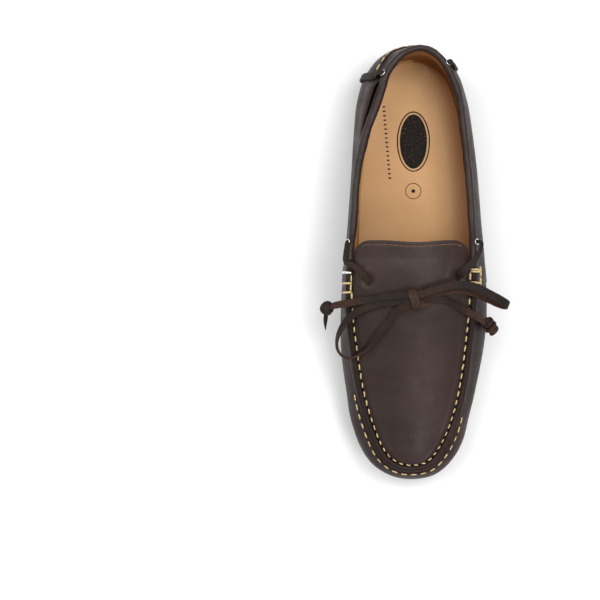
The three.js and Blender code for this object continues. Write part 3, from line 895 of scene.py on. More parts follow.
def roughened(points, size, scale, normal=None):
    """Points moved up or out by smooth noise, by size at most. Its grain is scale millimetres."""
    flat = points.reshape(-1, 3)
    amount = np.array([noise.noise(Vector(p) / scale) for p in flat]) * size
    way = np.array((0, 0, 1.0)) if normal is None else normal.reshape(-1, 3)
    return (flat + way * amount[:, None]).reshape(points.shape)


PITCH = 6.35  # of the stitches along the apron's seam, and shorter round the toe
TOE_PITCH = 4.95
SEAM_SECTIONS = np.linspace(6.8, TURN - 6.8, 2600)


def seam_line(section, inside=APRON_MARGIN):
    return rim_point(section) + inward(RIM, section) * inside


def from_toe(section):
    """0 round the toe's tip, and 1 along the sides."""
    return smoothstep(np.abs(np.asarray(section, float) - TOE), 1.4, 5)


SEAM_LENGTHS = lengths_along(seam_line(SEAM_SECTIONS))
SEAM_PITCHES = TOE_PITCH + (PITCH - TOE_PITCH) * from_toe(SEAM_SECTIONS)
# How many stitches lie before each place.
SEAM_COUNTS = np.concatenate([[0], np.cumsum(np.diff(SEAM_LENGTHS) / SEAM_PITCHES[1:])])


def seam_phase(section):
    """1 in the middle of each stitch along the apron's seam, and 0 between two."""
    return 0.5 + 0.5 * np.cos(2 * np.pi * np.interp(section, SEAM_SECTIONS, SEAM_COUNTS))


# The vamp's swell beside the seam, and the crease in it: height, distance from the rim, and width.
RIDGE = (1.25, 0.6, 2.2)
CREASE = (0.25, 2.6, 0.5)


def outside(section, drop):
    """How far the wall stands outside its rim in plan, so far below the rim."""
    outline, rim = on_loop(OUTLINE, section), rim_point(section)
    width = np.linalg.norm((outline - rim)[..., :2], axis=-1)
    bulge = rim[..., 2] * BULGE_SHARE
    up = np.clip((rim[..., 2] - drop - bulge) / (rim[..., 2] - bulge), 0, 1)
    return width * (1 - up**WALL_CURVE)


def drop_outside(section, distance):
    """How far below the rim the wall stands so far outside it."""
    outline, rim = on_loop(OUTLINE, section), rim_point(section)
    width = np.linalg.norm((outline - rim)[..., :2], axis=-1)
    reach = rim[..., 2] * (1 - BULGE_SHARE)
    return reach * (1 - (1 - distance / width) ** (1 / WALL_CURVE))


def ridge(section, drop):
    """How far the vamp stands out beside the seam, by the height below the rim."""
    away = outside(section, drop)
    fold, crease = (high * hump(away, at, wide) for high, at, wide in (RIDGE, CREASE))
    return fold - crease


# The fold's turn down into the seam: millimetres inside the rim, and up from it.
FOLD = [(2.15, -1.8), (2.1, -0.6), (1.85, 0.3), (1.25, 0.95), (0.35, 1.15)]


def vamp_row(section, drop, out=0.0):
    """The vamp's outer face so far below the rim, or a place so far outside it."""
    return wall(section, rim_height(section) - drop, -ridge(section, drop) - out)


def fold_row(section, inside, up):
    p = seam_line(section, inside)
    p[..., 2] += up - 0.35 * seam_phase(section) * smoothstep(inside, 0, 1.8)
    return lifted(p)


VAMP_ENDS = (7.3, TURN - 7.3)
RIDGE_REACH = 8  # how far below the rim the vamp's rows lie close together


def make_vamp():
    sections = np.linspace(*VAMP_ENDS, 460)
    rows = [fold_row(sections, *turn) for turn in FOLD]
    rows += [vamp_row(sections, drop) for drop in np.linspace(0, RIDGE_REACH, 26)]
    below = rim_height(sections) - WALL_FOOT - RIDGE_REACH
    rows += [vamp_row(sections, RIDGE_REACH + below * share) for share in np.linspace(0, 1, 20)[1:]]
    points = roughened(np.array(rows), 0.35, 14)
    piece = sheet_piece("vamp", points, 1.8, from_spine)
    finish_piece(piece, "shoe", VAMP_LEATHER, "upper_leather", "vamp_wall")


make_vamp()

QUARTER_FRONT = 7.52
QUARTER_RISE = (6.9, 7.2)  # where its edge climbs to fold over the vamp's
QUARTER_LAP = (7.0, 7.35)  # where it comes to lie over the vamp
QUARTER_OUT = (0.1, 0.25)  # how far it stands out, and how much more where it laps
UNDER_COLLAR = 2.6  # how far below the rim the quarter ends, beside the collar
# Where the inner quarter stands off from the collar, by section, and how far.
GAPE = ((-4.5, -4, -3.6, -2.55, -2.36), (0, 1.5, 2, 2.8, 0))
# Where the collar leans in there.
LEAN = {"at": -3.1, "wide": 0.9, "in": 2.2}


def softened(values, reach=4):
    """Values with their corners rounded, by the mean of their neighbours."""
    window = np.ones(2 * reach + 1) / (2 * reach + 1)
    return np.convolve(np.pad(values, reach, "edge"), window, "valid")


def make_quarter(name, side):
    """side is 1 for the outer quarter and -1 for the inner one."""
    sections = np.linspace(0.005, QUARTER_FRONT, 220)
    rise = smoothstep(sections, *QUARTER_RISE)
    out = QUARTER_OUT[0] + QUARTER_OUT[1] * smoothstep(sections, *QUARTER_LAP)
    sections = side * sections
    rim = rim_height(sections)
    height = rim - UNDER_COLLAR * (1 - rise) - WALL_FOOT
    gape = softened(np.interp(sections, *GAPE))
    rows = []
    for share in np.linspace(0, 1, 46):
        z = WALL_FOOT + height * share
        away = out + gape * smoothstep(share, 0.72, 1)
        rows.append(wall(sections, z, -away - rise * ridge(sections, rim - z)))
    edge = rows[-1]
    for inside, up in FOLD[::-1]:
        over = fold_row(sections, inside, up + 0.7)
        rows.append(edge + (over - edge) * rise[:, None])
    points = roughened(np.array(rows), 0.4, 17)
    piece = sheet_piece(name, points, 1.6, from_spine)
    finish_piece(piece, "shoe", WALL_LEATHER, "upper_leather", name)


make_quarter("quarter_outer", 1)
make_quarter("quarter_inner", -1)

# Second layers over the wall.
GUARD = {"from": 10.85, "to": 18.15, "outside": 2.3, "seam": 1.1}
PATCH = {"from": -2.05, "to": 1.5, "top": 51.6, "drop": 9.5, "seam": 1.6}
OVERLAY = {"foot": 8.2, "near": -0.1, "far": -1.15, "taper": 0.7}


def from_ends(sections):
    """How far each section is from the nearer end of them all."""
    return np.minimum(sections - sections[0], sections[-1] - sections)


def make_overlay(name, sections, top, surface):
    """A panel over the wall, its edges thinned and turned down to it."""
    rows = []
    from_end = smoothstep(from_ends(sections), 0, OVERLAY["taper"])
    for share in np.concatenate([[0], np.linspace(0.02, 0.95, 22), np.linspace(0.965, 1, 6)]):
        z = OVERLAY["foot"] + (top - OVERLAY["foot"]) * share
        full = np.minimum(smoothstep(top - z, -0.3, 1.1), from_end)
        depth = OVERLAY["near"] + (OVERLAY["far"] - OVERLAY["near"]) * full
        rows.append(vamp_row(sections, rim_height(sections) - z, -depth))
    points = roughened(np.array(rows), 0.25, 15)
    piece = sheet_piece(name, points, 0.9, from_spine)
    finish_piece(piece, "shoe", surface, "upper_leather", name)


guard_sections = np.linspace(GUARD["from"], GUARD["to"], 240)
guard_top = rim_height(guard_sections) - drop_outside(guard_sections, GUARD["outside"])
make_overlay("toe_guard", guard_sections, guard_top, GUARD_LEATHER)


def patch_top(sections):
    """The heel patch's top edge, which drops to the outer side."""
    return PATCH["top"] - PATCH["drop"] * smoothstep(sections, -1.7, -0.6)


patch_sections = np.linspace(PATCH["from"], PATCH["to"], 110)
make_overlay("heel_patch", patch_sections, patch_top(patch_sections), WALL_LEATHER)

# ---- The apron and the tongue, as one sheet ----

TONGUE = {"inner": -39.3, "outer": 34.6, "root": 0.3, "length": 12.9, "corner": 10, "rise": 0.2}
TONGUE_SAG = {"deep": 1.4, "at": 0, "wide": 14}  # the rear edge is lower in the middle
TONGUE_SEAM = 2.7
TONGUE_MIDDLE = (TONGUE["inner"] + TONGUE["outer"]) / 2
TONGUE_HALF = (TONGUE["outer"] - TONGUE["inner"]) / 2
# Where the straps go through: x, y, how wide, how deep.
STRAP_HOLES = [(27.4, -10, 3.2, 2.6), (-30, -12.6, 3.2, 2.6)]
HOLE_SWELL = 0.5  # and how far the leather stands up round them


APRON_LONG = 7  # sections from the toe's tip to the apron's rear end
EDGE_DROP = 0.4  # how far below the rim the sheet's edges lie
# Places across the sheet from -1 to 1, closer together at the edges.
ACROSS = np.sin(np.linspace(-1, 1, 110) * np.pi / 2 * 0.9) / math.sin(np.pi / 2 * 0.9)


def apron_rows():
    backs = APRON_LONG * np.linspace(0.04, 1, 190) ** 1.35
    back, a = np.meshgrid(backs, ACROSS, indexing="ij")
    outer, inner = apron_edges(back)
    close = smoothstep(back, APRON_LONG - 0.25, APRON_LONG)
    outer[..., 0] -= close * (outer[..., 0] - TONGUE["outer"])
    inner[..., 0] -= close * (inner[..., 0] - TONGUE["inner"])
    points = inner + (outer - inner) * ((a + 1) / 2)[..., None]
    points[..., 2] = apron_top(points[..., 0], back, a)
    half = np.linalg.norm(outer - inner, axis=-1) / 2
    edge = (1 - np.abs(a)) * half
    phase = seam_phase(np.where(a > 0, TOE - back, TOE + back))
    points[..., 2] -= 0.6 * hump(edge, 0, 0.8)
    points[..., 2] -= 0.35 * phase * hump(edge, 0, 1.7)
    points[..., 2] += 0.3 * hump(edge, 3.4, 1.6)
    return points


def apron_top(x, back, across):
    """The apron's height, its dome kept where the sheet narrows to the tongue."""
    outer, inner = apron_edges(back)
    share = np.clip((x - inner[..., 0]) / (outer[..., 0] - inner[..., 0]), 0, 1)
    close = smoothstep(back, APRON_LONG - 0.25, APRON_LONG)
    a = across * (1 - close) + (2 * share - 1) * close
    dome = INSTEP_DOME * np.sin(np.pi / 2 * back / APRON_LONG) ** 1.3
    level = inner[..., 2] + (outer[..., 2] - inner[..., 2]) * share
    return level + dome * (1 - a**2) - EDGE_DROP


def tongue_top(x, y):
    """The apron's dome carried on to the rear, with a climb that starts gently at its root."""
    outer, inner = apron_edges(np.array(float(APRON_LONG)))
    share = 2 * (x - inner[0]) / (outer[0] - inner[0]) - 1
    return inner[2] - EDGE_DROP + INSTEP_DOME * (1 - share**2) + TONGUE["rise"] * y * y / (y + 5)


def tongue_reach(x):
    """How far the tongue reaches behind its root, its rear corners rounded."""
    straight = TONGUE_HALF - TONGUE["corner"]
    past = np.clip((np.abs(x - TONGUE_MIDDLE) - straight) / TONGUE["corner"], 0, 1)
    sag = TONGUE_SAG["deep"] * hump(x, TONGUE_SAG["at"], TONGUE_SAG["wide"])
    return TONGUE["length"] - sag - TONGUE["corner"] * (1 - np.sqrt(1 - past**2))


def tongue_rows():
    backs = np.concatenate([np.linspace(0.06, 0.9, 18), [0.94, 0.97, 1]])
    back, a = np.meshgrid(backs, ACROSS, indexing="ij")
    x = TONGUE_MIDDLE + TONGUE_HALF * a
    reach = tongue_reach(x)
    y = TONGUE["root"] + reach * back
    from_rear = reach * (1 - back)
    groove = 0.22 * hump(from_rear, TONGUE_SEAM, 0.7) + 0.35 * hump(from_rear, 0, 0.7)
    return np.stack([x, y, tongue_top(x, y) - groove], -1)


def make_plug():
    points = np.concatenate([apron_rows(), tongue_rows()])
    for x, y, wide, deep in STRAP_HOLES:
        away = np.hypot(points[..., 0] - x, points[..., 1] - y)
        points[..., 2] -= deep * hump(away, 0, wide) - HOLE_SWELL * hump(away, 5.5, 2)
    points = roughened(points, 0.6, 21)
    points = roughened(points, 0.15, 6)
    points = lifted(points)
    piece = sheet_piece("plug", points, 1.7, upward)
    finish_piece(piece, None, UPPER, "upper_leather", "apron", "tongue")
    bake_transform(piece)


make_plug()

# ---- Collar, linings and insole ----

# The tube's ends, its half width and half height, and its half width at the heel.
COLLAR = {"end": 7.05, "wide": 2.6, "high": 3, "heel": 2.15}


def make_collar():
    sections = np.linspace(-COLLAR["end"], COLLAR["end"], 520)
    path = rim_point(sections)
    out = -inward(RIM, sections)
    path -= out * (LEAN["in"] * hump(sections, LEAN["at"], LEAN["wide"]))[:, None]
    tangents = unit(np.gradient(path, axis=0))
    up = np.cross(out, tangents)
    up *= np.sign(up[:, 2:3])
    full = np.sqrt(np.clip(1 - (1 - np.clip(from_ends(sections) / 0.1, 0, 1)) ** 2, 0.05, 1))
    wide = COLLAR["wide"] + (COLLAR["heel"] - COLLAR["wide"]) * hump(sections, 0, 1.2)
    rows = []
    for turn in np.linspace(0, 2 * np.pi, 36, endpoint=False):
        across, over = wide * math.cos(turn), COLLAR["high"] * math.sin(turn)
        rows.append(path + (out * across[:, None] + up * over) * full[:, None])
    points = np.array(rows)
    normal = unit(points - path[None])
    points = roughened(points, 0.5, 9, normal)
    points = roughened(points, 0.2, 3.2, normal)
    out = lambda p: upward(p) if p.z > 60 else from_spine(p)
    piece = sheet_piece("collar", points, 1.2, out, loop_rows=True)
    finish_piece(piece, "shoe", COLLAR_LEATHER, "collar_leather", "collar")


make_collar()


LINING_TURN = 2.3  # how far a lining's top edge turns out


def lining_rows(sections, below, foot, depth, turn, count):
    """Rows from the foot to so far below the rim, which turn out after a share of the way."""
    height = rim_height(sections) - below - foot
    return np.array(
        [
            wall(sections, foot + height * share, depth - LINING_TURN * smoothstep(share, turn, 1))
            for share in np.linspace(0, 1, count)
        ]
    )


def make_lining():
    sections = np.linspace(-7.45, 7.45, 240)
    rows = lining_rows(sections, below=1.4, foot=7.4, depth=3.9, turn=0.9, count=60)
    points = roughened(rows, 0.2, 19)
    # Painted shade: the lining is a little darker everywhere, and much darker round the heel and
    # along the outer side, less so toward its front, where it lies in shade.
    outer_side_shade = smoothstep(sections, -3.2, -1.2) * (1 - 0.4 * smoothstep(sections, 3.5, 6.5))
    burnish_and_shade = np.broadcast_to(0.15 + 0.65 * outer_side_shade, points.shape[:2])
    piece = sheet_piece("quarter_lining", points, 0.9, from_spine, burnish_and_shade=burnish_and_shade)
    finish_piece(piece, "shoe", SHADED_LINING_TAN, "tan_leather", "quarter_lining")


make_lining()


def make_slit_shade_sheet():
    """A dark sheet behind the slit beside the inner quarter, and only there: painted shade in the
    slit.
    """
    sections = np.linspace(-5.2, -1.8, 70)
    rows = lining_rows(sections, below=1.2, foot=20, depth=3.3, turn=0.85, count=40)
    piece = sheet_piece("slit_shade_sheet", rows, 0.4, from_spine)
    finish_piece(piece, "shoe", WALL_LEATHER, "upper_leather")


make_slit_shade_sheet()

INSOLE = {"top": 15.2, "level": 15, "margin": 5, "cup": 3.2}


def make_insole():
    backs = np.linspace(0.25, TOE - 0.04, 150)
    across = np.sin(np.linspace(-1, 1, 60) * np.pi / 2)
    back, a = np.meshgrid(backs, across, indexing="ij")
    edges = [
        wall_face(s, INSOLE["level"]) + inward(OUTLINE, s) * INSOLE["margin"]
        for s in (TOE - back, TOE + back)
    ]
    points = edges[1] + (edges[0] - edges[1]) * ((a + 1) / 2)[..., None]
    end = np.minimum(1, (TOE - back) / 1.6)
    cupped = 1 - (1 - np.abs(a) ** 5) * (1 - (1 - end) ** 5)
    points[..., 2] = INSOLE["top"] + INSOLE["cup"] * cupped
    points = lifted(roughened(points, 0.4, 24))
    # Darker and redder a little along the inner edge, and much along the outer edge and round the
    # heel, most on its outer side: partly burnishing, and partly painted shade, the outer wall's
    # shadow. Forward of the heel the whole insole is a little darker too: painted shade, which
    # leaves the heel painted lighter than the rest.
    burnish_and_shade = 0.9 * smoothstep(a, 0.5, 1.0) + 0.2 * smoothstep(-a, 0.72, 1.0)
    burnish_and_shade = np.maximum(burnish_and_shade, 0.6 * smoothstep(back + 1.3 * a, TOE - 1.3, TOE + 1.1))
    burnish_and_shade = np.maximum(burnish_and_shade, 0.2 * smoothstep(TOE - back, 2.2, 5.5))
    piece = sheet_piece("sock_lining", points, 1.2, upward, burnish_and_shade=burnish_and_shade)
    finish_piece(piece, "shoe", TAN, "tan_leather", "sock_lining")


make_insole()


PRINT_OVER = 0.28  # how far the print stands over the insole's lowest part, to lie on its face
OVAL, DOT = (1.5, 80), (1.4, 47.2)


def flat_ring(outer, inner, x, y, sides=64):
    """A printed ring on the insole, from its radii across and along, and its middle."""
    middle = np.array((x, y, INSOLE["top"] + PRINT_OVER))
    vertices = np.concatenate(
        [middle + circle((rx, 0, 0), (0, ry, 0), sides) for rx, ry in (outer, inner)]
    )
    return new_piece("print", vertices, grid_faces(2, sides, False, True), smooth=False)


def make_prints():
    parts = [
        flat_ring((11, 20), (10.2, 19.2), *OVAL),
        flat_ring((9, 18), (0.02, 0.04), *OVAL),
        flat_ring((5.3, 5.3), (4.9, 4.9), *DOT),
        flat_ring((1.2, 1.2), (0.1, 0.1), *DOT),
    ]
    parts += [
        flat_ring((1.05, 0.55), (0.1, 0.1), -18.2 + 0.25 * i, 103 - 2.95 * i, 14) for i in range(17)
    ]
    for part in parts:
        face_outward(part, upward)
    prints = joined("insole_print", parts)
    finish_piece(prints, "shoe", INK, "tan_leather")


make_prints()

# ---- Stitches ----


STITCH_FLAT = 0.75  # a stitch's height by its width


def stitch(points, thick):
    """One stitch: a soft bar of thread whose ends dive into the leather."""
    count, sides = 11, 9
    path = through(points, count)
    share = np.linspace(-1, 1, count)
    path[:, 2] -= thick * 0.75 * np.abs(share) ** 5
    swell = thick * (0.55 + 0.45 * np.sqrt(np.clip(1 - share**4, 0, 1))) / 2
    tangents, across = carried_frames(path, np.cross(path[-1] - path[0], (0.01, 0.02, 1)))
    vertices = []
    for i in range(count):
        up = np.cross(tangents[i], across[i]) * STITCH_FLAT
        vertices += list(path[i] + swell[i] * circle(across[i], up, sides))
    return vertices, tube_faces(count, sides)


def along_line(line, distances):
    """Places on a line of points, so far along it."""
    lengths = lengths_along(line)
    return [[np.interp(x, lengths, line[:, k]) for k in range(3)] for x in distances]


def stitches(name, paths, thick, surface, slot, nodes, body="shoe"):
    vertices, faces = [], []
    for points in paths:
        wide = thick(points) if callable(thick) else thick
        more, new = stitch(points, wide * random.uniform(0.92, 1.08))
        faces += [[i + len(vertices) for i in face] for face in new]
        vertices += more
    piece = new_piece(name, vertices, faces)
    weld(piece, 0.0001)
    finish_piece(piece, body, surface, slot, *nodes)
    return piece


# At the toe and along the sides: the share of the pitch that a stitch is long, and how thick it is.
STITCH = {"share": (0.52, 0.64), "thick": (0.82, 1.0), "raise": 0.3, "toe_raise": 1.0}
SEAM_STITCHES = (7.62, 20.18)  # the sections between which single stitches run
TOE_END = -100  # stitches nearer the toe than this y are the thinner ones


def seam_point(section, aside, up):
    """A point over the apron's seam, moved aside from it, inwards, and up."""
    s = np.array(section, float)
    p = seam_line(s, APRON_MARGIN + aside)
    p[2] += up - EDGE_DROP
    return lifted(p)


def make_apron_stitches():
    start, end = np.interp(SEAM_STITCHES, SEAM_SECTIONS, SEAM_COUNTS)
    paths = []
    for i in range(math.ceil(start), math.floor(end) + 1):
        middle = np.interp(i, SEAM_COUNTS, SEAM_SECTIONS)
        half = np.interp(from_toe(middle), (0, 1), STITCH["share"]) / 2 * random.uniform(0.92, 1.08)
        slant = random.uniform(0.05, 0.3)
        near_toe = hump(middle, TOE, 1)
        up = STITCH["raise"] + STITCH["toe_raise"] * near_toe
        aside = 0.35 - 0.5 * near_toe
        shifts = np.array((-1, -0.4, 0.4, 1))
        at = np.interp(i + shifts * half, SEAM_COUNTS, SEAM_SECTIONS)
        paths.append([seam_point(s, aside + shift * slant, up) for s, shift in zip(at, shifts)])
    thick = lambda points: STITCH["thick"][0 if points[1][1] < TOE_END else 1]
    stitches("apron_stitches", paths, thick, THREAD, "thread", ["apron_thread"])


make_apron_stitches()


def wall_stitches(name, sections, z, pitch, long, thick, out, nodes):
    """A row of stitches along the wall at a height, so far outside it."""
    out = out * (0.25 + 0.75 * smoothstep(from_ends(sections), -0.15, OVERLAY["taper"] - 0.15))
    line = vamp_row(sections, rim_height(sections) - z, out)
    paths = []
    for i in range(int(lengths_along(line)[-1] / pitch)):
        middle = (i + 0.5) * pitch
        half = long / 2 * random.uniform(0.92, 1.08)
        paths.append(along_line(line, [middle + half * shift for shift in (-1, -0.4, 0.4, 1)]))
    stitches(name, paths, thick, THREAD, "thread", nodes)


toe_sections = np.linspace(GUARD["from"] + 0.1, GUARD["to"] - 0.1, 400)
wall_stitches(
    "toe_stitches",
    toe_sections,
    rim_height(toe_sections) - drop_outside(toe_sections, GUARD["outside"]) - GUARD["seam"],
    pitch=PITCH,
    long=3.9,
    thick=0.85,
    out=0.02 - OVERLAY["far"],
    nodes=["toe_thread"],
)
heel_sections = np.linspace(PATCH["from"] + 0.05, PATCH["to"] - 0.5, 200)
wall_stitches(
    "heel_stitches",
    heel_sections,
    patch_top(heel_sections) - PATCH["seam"],
    pitch=6.2,
    long=4.4,
    thick=1.1,
    out=-0.1 - OVERLAY["far"],
    nodes=["heel_thread"],
)


def over_ridge(section, out, up):
    """A point over the fold beside the seam, so far outside the rim, or inside where out < 0."""
    s = np.array(section, float)
    if out >= 0:
        return vamp_row(s, out, up)
    p = seam_line(s, -out)
    p[2] += np.interp(-out, (0, 1.2, 2.3), (1.2, 1, 0)) + up
    return lifted(p)


def rung(section, reach, up):
    return [over_ridge(section, out, up) for out in (-2.6, -1.4, 0.2, reach * 0.6, reach)]


def make_ladders():
    paths = [
        rung(7.2, 4.6, 1.7),
        rung(7.25, 4.6, 1.7),
        rung(7.5, 4.2, 1.7),
        [over_ridge(s, 4.6, 1.7) for s in (7.12, 7.24, 7.36)],
        [over_ridge(s, 4.4, 1.7) for s in (7.38, 7.5, 7.6)],
        [seam_point(s, 0.2, 0.9) for s in (7.27, 7.36, 7.46)],
    ]
    stitches("ladder_outer", paths, 1.3, THREAD, "thread", ["ladder_thread_outer"])
    paths = [
        rung(TURN - 7.515, 4.6, 1.7),
        rung(TURN - 7.72, 4.6, 1.2),
        [seam_point(s, -0.5, 0.9) for s in (TURN - 7.31, TURN - 7.4, TURN - 7.5)],
        [seam_point(s, -0.5, 0.9) for s in (TURN - 7.53, TURN - 7.61, TURN - 7.7)],
        [seam_point(s, 0.2, 0.7) for s in (TURN - 7.73, TURN - 7.8, TURN - 7.9)],
    ]
    stitches("ladder_inner", paths, 1.3, THREAD, "thread", ["ladder_thread_inner"])
    stitches("ladder_first_bar", [rung(TURN - 7.275, 4.6, 1.7)], 1.6, NICKEL, "nickel", [])


make_ladders()


TONGUE_STITCHES = {"from": -34, "to": 29.5, "pitch": 2.1, "up": 0.15}


def make_tongue_stitches():
    x = np.linspace(TONGUE_STITCHES["from"], TONGUE_STITCHES["to"], 200)
    y = TONGUE["root"] + tongue_reach(x) - TONGUE_SEAM
    line = np.stack([x, y, tongue_top(x, y) + TONGUE_STITCHES["up"]], -1)
    pitch = TONGUE_STITCHES["pitch"]
    paths = [
        along_line(line, [(i + 0.5 + shift) * pitch for shift in (-0.33, 0, 0.33)])
        for i in range(int(lengths_along(line)[-1] / pitch))
    ]
    stitches("tongue_stitches", paths, 0.8, FINE_THREAD, "fine_thread", ["tongue_thread"], "tongue")


make_tongue_stitches()

# ---- The lace through the collar ----


def beside_collar(section, out, up):
    p = seam_line(np.array(section, float), -out)
    p[2] += up
    return p


FRONT_EYELET = 6.5
# Leaving its eyelet, a strap goes so far on, in sections, and so far out and up. Then come places.
STRAP_START = [
    (0, 1.8, 1.6), (0, 3.7, 3.3), (0.08, 5, 4.6), (0.22, 4, 5.1), (0.36, 2, 5.5), (0.48, 0, 5.5),
]
OUTER_OVER = [
    (34.2, -3.2, 65.6), (31.4, -5.8, 65.4), (28.9, -8.2, 64), (26.9, -10.4, 61.2),
    (23.6, -12.6, 59.8),
]
INNER_CORNER = [(0, 1.8, 1.6), (0.04, 2.6, 2.8), (0.16, 2.7, 3.2), (0.32, 2.8, 3.5)]
INNER_OVER = [
    (-44.8, 0.6, 64.2), (-43.8, -1.4, 65.6), (-41.4, -2.6, 66.2), (-37.6, -4.8, 66.2),
    (-33.6, -8.8, 65.6), (-30.2, -12.4, 63.6), (-27, -15.4, 60.8),
]
OUTER_WIDTHS, INNER_WIDTHS = (0.45, 0.5, 0.9, 0.92), (0.5, 0.55, 0.78, 0.82)
STRAPS = (
    ("front_strap_outer", FRONT_EYELET, 1, STRAP_START, OUTER_OVER, OUTER_WIDTHS),
    ("front_strap_inner", TURN - FRONT_EYELET, -1, INNER_CORNER, INNER_OVER, INNER_WIDTHS),
)


def make_straps():
    for name, eyelet, forward, leaving, over, widths in STRAPS:
        start = [beside_collar(eyelet + forward * past, out, up) for past, out, up in leaving]
        path = through([*start, *over], 70)
        width = np.interp(np.linspace(0, 1, 70), (0, 0.25, 0.55, 1), widths)
        strap = thong(name, path, -flat_sides(path), scale=width)
        smooth_surface(strap)
        finish_piece(strap, "shoe", LACE_LEATHER, "lace_leather", name)


make_straps()

HEEL_EYELETS = (1.68, TURN - 2.12)
# Over the collar, a heel lace goes a share of its way on, and so far out and up.
HEEL_OVER = [
    (0, 1.6, 1.2), (0, 3, 2.3), (0.25, 4.3, 2.3), (0.55, 5.2, 0.8), (0.85, 5.3, -2), (1, 5.2, -5),
]
# Each lace's eyelet, where it comes down, and how far it bows out.
HEEL_LACES = {
    "heel_lace_outer": (HEEL_EYELETS[0], 1.88, 0.86),
    "heel_lace_inner": (HEEL_EYELETS[1], TURN - 2.24, 1),
}
HEEL_LACE_OUT = 1.3  # how far outside the wall it lies


def make_heel_laces():
    for name, (eyelet, down, bow) in HEEL_LACES.items():
        over = [
            beside_collar(eyelet + (down - eyelet) * share, out * bow, up)
            for share, out, up in HEEL_OVER
        ]
        along = [wall(down, z, -HEEL_LACE_OUT) for z in (50, 42, 33, 24, 12)]
        path = through([*over, *along], 90)
        side = np.cross(inward(RIM, down), (0, 0, 1))
        width = np.interp(np.linspace(0, 1, 90), (0, 0.1, 0.2, 1), (0.65, 0.85, 1, 1))
        lace = thong(name, path, np.tile(side, (90, 1)), scale=width)
        smooth_surface(lace)
        finish_piece(lace, "shoe", LACE_LEATHER, "lace_leather", name)


make_heel_laces()

# Each eyelet's section, and the radius of its ring.
EYELETS = {
    "front_eyelet_outer": (FRONT_EYELET, 1.7),
    "front_eyelet_inner": (TURN - FRONT_EYELET, 1.25),
    "heel_eyelet_outer": (HEEL_EYELETS[0], 1.7),
    "heel_eyelet_inner": (HEEL_EYELETS[1], 1.7),
}
# Half the ring's thickness across and along its axis, its tilt, and how far out it stands.
EYELET = {"across": 0.368, "along": 0.256, "tilt": 0.9, "stand": 3}


def make_eyelets():
    for name, (section, ring) in EYELETS.items():
        middle = rim_point(np.array(float(section)))
        way = unit(beside_collar(section, 1, EYELET["tilt"]) - middle)
        centre = middle + way * EYELET["stand"]
        first = unit(np.cross(way, (0, 0, 1)))
        second = np.cross(way, first)
        vertices = []
        for spoke in circle(first, second, 40):
            swell = circle(spoke * EYELET["across"], way * EYELET["along"], 14)
            vertices += list(centre + spoke * ring + swell)
        piece = new_piece(name, vertices, grid_faces(40, 14, True, True))
        weld(piece, 0.0001)
        finish_piece(piece, "shoe", NICKEL, "nickel", name)


make_eyelets()

# ---- The outsole ----

SOLE = {"low": 2.8, "high": 6.5, "lip": 1.5}
POD = {"radius": 4.6, "pitch": 14.5, "rows": 19, "heel": 132, "sides": 20}
POD_PROFILE = [(4.6, 3.4), (4.5, 2.2), (4.1, 1.1), (3.2, 0.35), (1.8, 0.06), (0.4, 0)]
ARCH = (8, 52)  # no pods lie between these two y


def sole_edge(section):
    p = on_loop(OUTLINE, section)
    return p + inward(OUTLINE, section) * (p[..., 2:3] - SOLE["lip"])


def pod_places():
    edge = sole_edge(np.arange(112) / 4)
    places = []
    for row in range(POD["rows"]):
        y = POD["heel"] - row * POD["pitch"]
        near = edge[np.abs(edge[:, 1] - y) < POD["pitch"] / 2][:, 0]
        if ARCH[0] < y < ARCH[1] or not len(near):
            continue
        low, high = near.min() + POD["radius"] + 2, near.max() - POD["radius"] - 2
        count = int((high - low) / POD["pitch"]) + row % 2
        shifts = (np.arange(count) - (count - 1) / 2) * POD["pitch"]
        places += [((low + high) / 2 + shift, y) for shift in shifts]
    return [p for p in places if (np.hypot(*(edge[:, :2] - p).T) > POD["radius"] + 1).all()]


def make_outsole():
    backs = np.linspace(0.12, TOE - 0.12, 110)
    back, a = np.meshgrid(backs, np.sin(np.linspace(-1, 1, 30) * np.pi / 2), indexing="ij")
    inner, outer = sole_edge(TOE + back), sole_edge(TOE - back)
    points = inner + (outer - inner) * ((a + 1) / 2)[..., None]
    points[..., 2] = SOLE["high"]
    parts = [sheet_piece("outsole", lifted(points), SOLE["high"] - SOLE["low"], upward)]
    sides, last = POD["sides"], (len(POD_PROFILE) - 1) * POD["sides"]
    faces = grid_faces(len(POD_PROFILE), sides, False, True) + [list(range(last, last + sides))]
    for x, y in pod_places():
        rings = [np.array((x, y, z)) + circle((r, 0, 0), (0, r, 0), sides) for r, z in POD_PROFILE]
        pod = new_piece("pod", lifted(np.concatenate(rings)), faces)
        face_outward(pod, lambda p: Vector((0, 0, -1)))
        parts.append(pod)
    finish_piece(joined("outsole", parts), "shoe", RUBBER, "sole_rubber", "outsole")


make_outsole()

# ---- The pieces inside, as the CAD has them ----


def board():
    m = material("board", (0.34, 0.24, 0.14), 0.85)
    n = Nodes(m)
    n.colour(n.ramp(n.noise(300, 4, 0.7), (0.3, (0.24, 0.16, 0.09)), (0.7, (0.42, 0.31, 0.19))))
    n.bump(n.noise(900, 3, 0.6), 0.3, 0.1)
    return m


def foam():
    m = material("foam", (0.66, 0.58, 0.43), 0.95)
    n = Nodes(m)
    n.colour(n.ramp(n.cells(900), (0.1, (0.5, 0.42, 0.29)), (0.6, (0.7, 0.62, 0.47))))
    n.bump(n.cells(900), 0.5, 0.2)
    return m


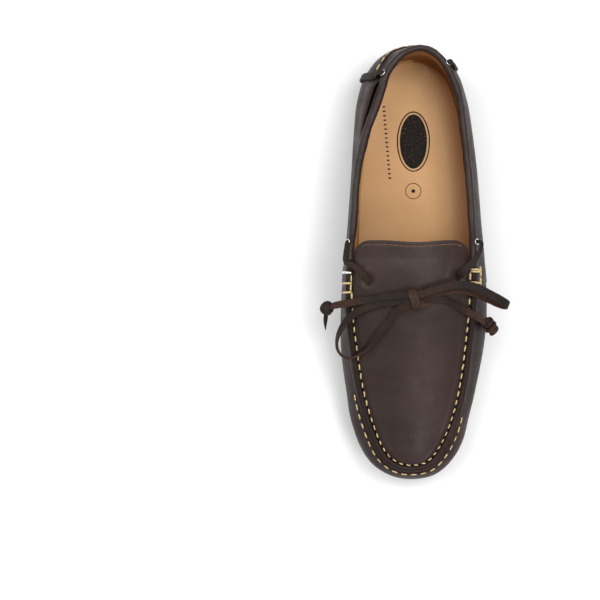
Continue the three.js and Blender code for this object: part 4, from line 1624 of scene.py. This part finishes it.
INSIDE = {
    "bottom_leather": WALL_LEATHER,
    "insole_board": board(),
    "heel_counter": WALL_LEATHER,
    "footbed_foam": foam(),
    "vamp_lining": VAMP_TAN,
    "collar_lace_inner": LACE_LEATHER,
    "collar_lace_outer": LACE_LEATHER,
}
for name, surface in INSIDE.items():
    node = frame["nodes"][name]
    node.data.materials.clear()
    node.data.materials.append(surface)

# ---- Floor and light ----


FLOOR_HALF = 6000
FLOOR_DROP = 0.2  # it lies just under the sole's pods
WORLD_STRENGTH = 0.42
LIT_PLACE = (0, 0, 0.03)
# Each softbox's place and size in metres, and its power.
SOFTBOXES = {
    "overhead": ((0.1, 0.25, 2.2), (2.2, 1.5), 20),
    "key": ((0.7, 0.4, 1.9), (0.9, 0.9), 15),
    "left": ((-1.3, 0.4, 1.5), (1.4, 1.8), 16),
    "toe": ((0.9, -0.95, 1.8), (0.6, 0.6), 8),
}


def make_floor():
    corners = [(x * FLOOR_HALF, y * FLOOR_HALF, 0) for x, y in ((-1, -1), (1, -1), (1, 1), (-1, 1))]
    floor = new_piece("floor", corners, [[0, 1, 2, 3]], smooth=False)
    floor.location.z = -FLOOR_DROP * MM
    m = material("floor", (0.9, 0.9, 0.9), 0.9, Specular_IOR_Level=0.1)
    floor.data.materials.append(m)


def softbox(name, place, size, power):
    data = bpy.data.lights.new(name, "AREA")
    data.shape = "RECTANGLE"
    data.size, data.size_y = size
    data.energy = power
    lamp = bpy.data.objects.new(name, data)
    lamp.location = place
    lamp.rotation_euler = (Vector(LIT_PLACE) - Vector(place)).to_track_quat("-Z", "Y").to_euler()
    bpy.context.scene.collection.objects.link(lamp)


def make_light():
    world = bpy.data.worlds.new("world")
    bpy.context.scene.world = world
    world.use_nodes = True
    background = world.node_tree.nodes["Background"]
    background.inputs["Color"].default_value = (1, 1, 1, 1)
    background.inputs["Strength"].default_value = WORLD_STRENGTH
    for name, box in SOFTBOXES.items():
        softbox(name, *box)


make_floor()
make_light()
bpy.context.scene.view_settings.view_transform = "Standard"
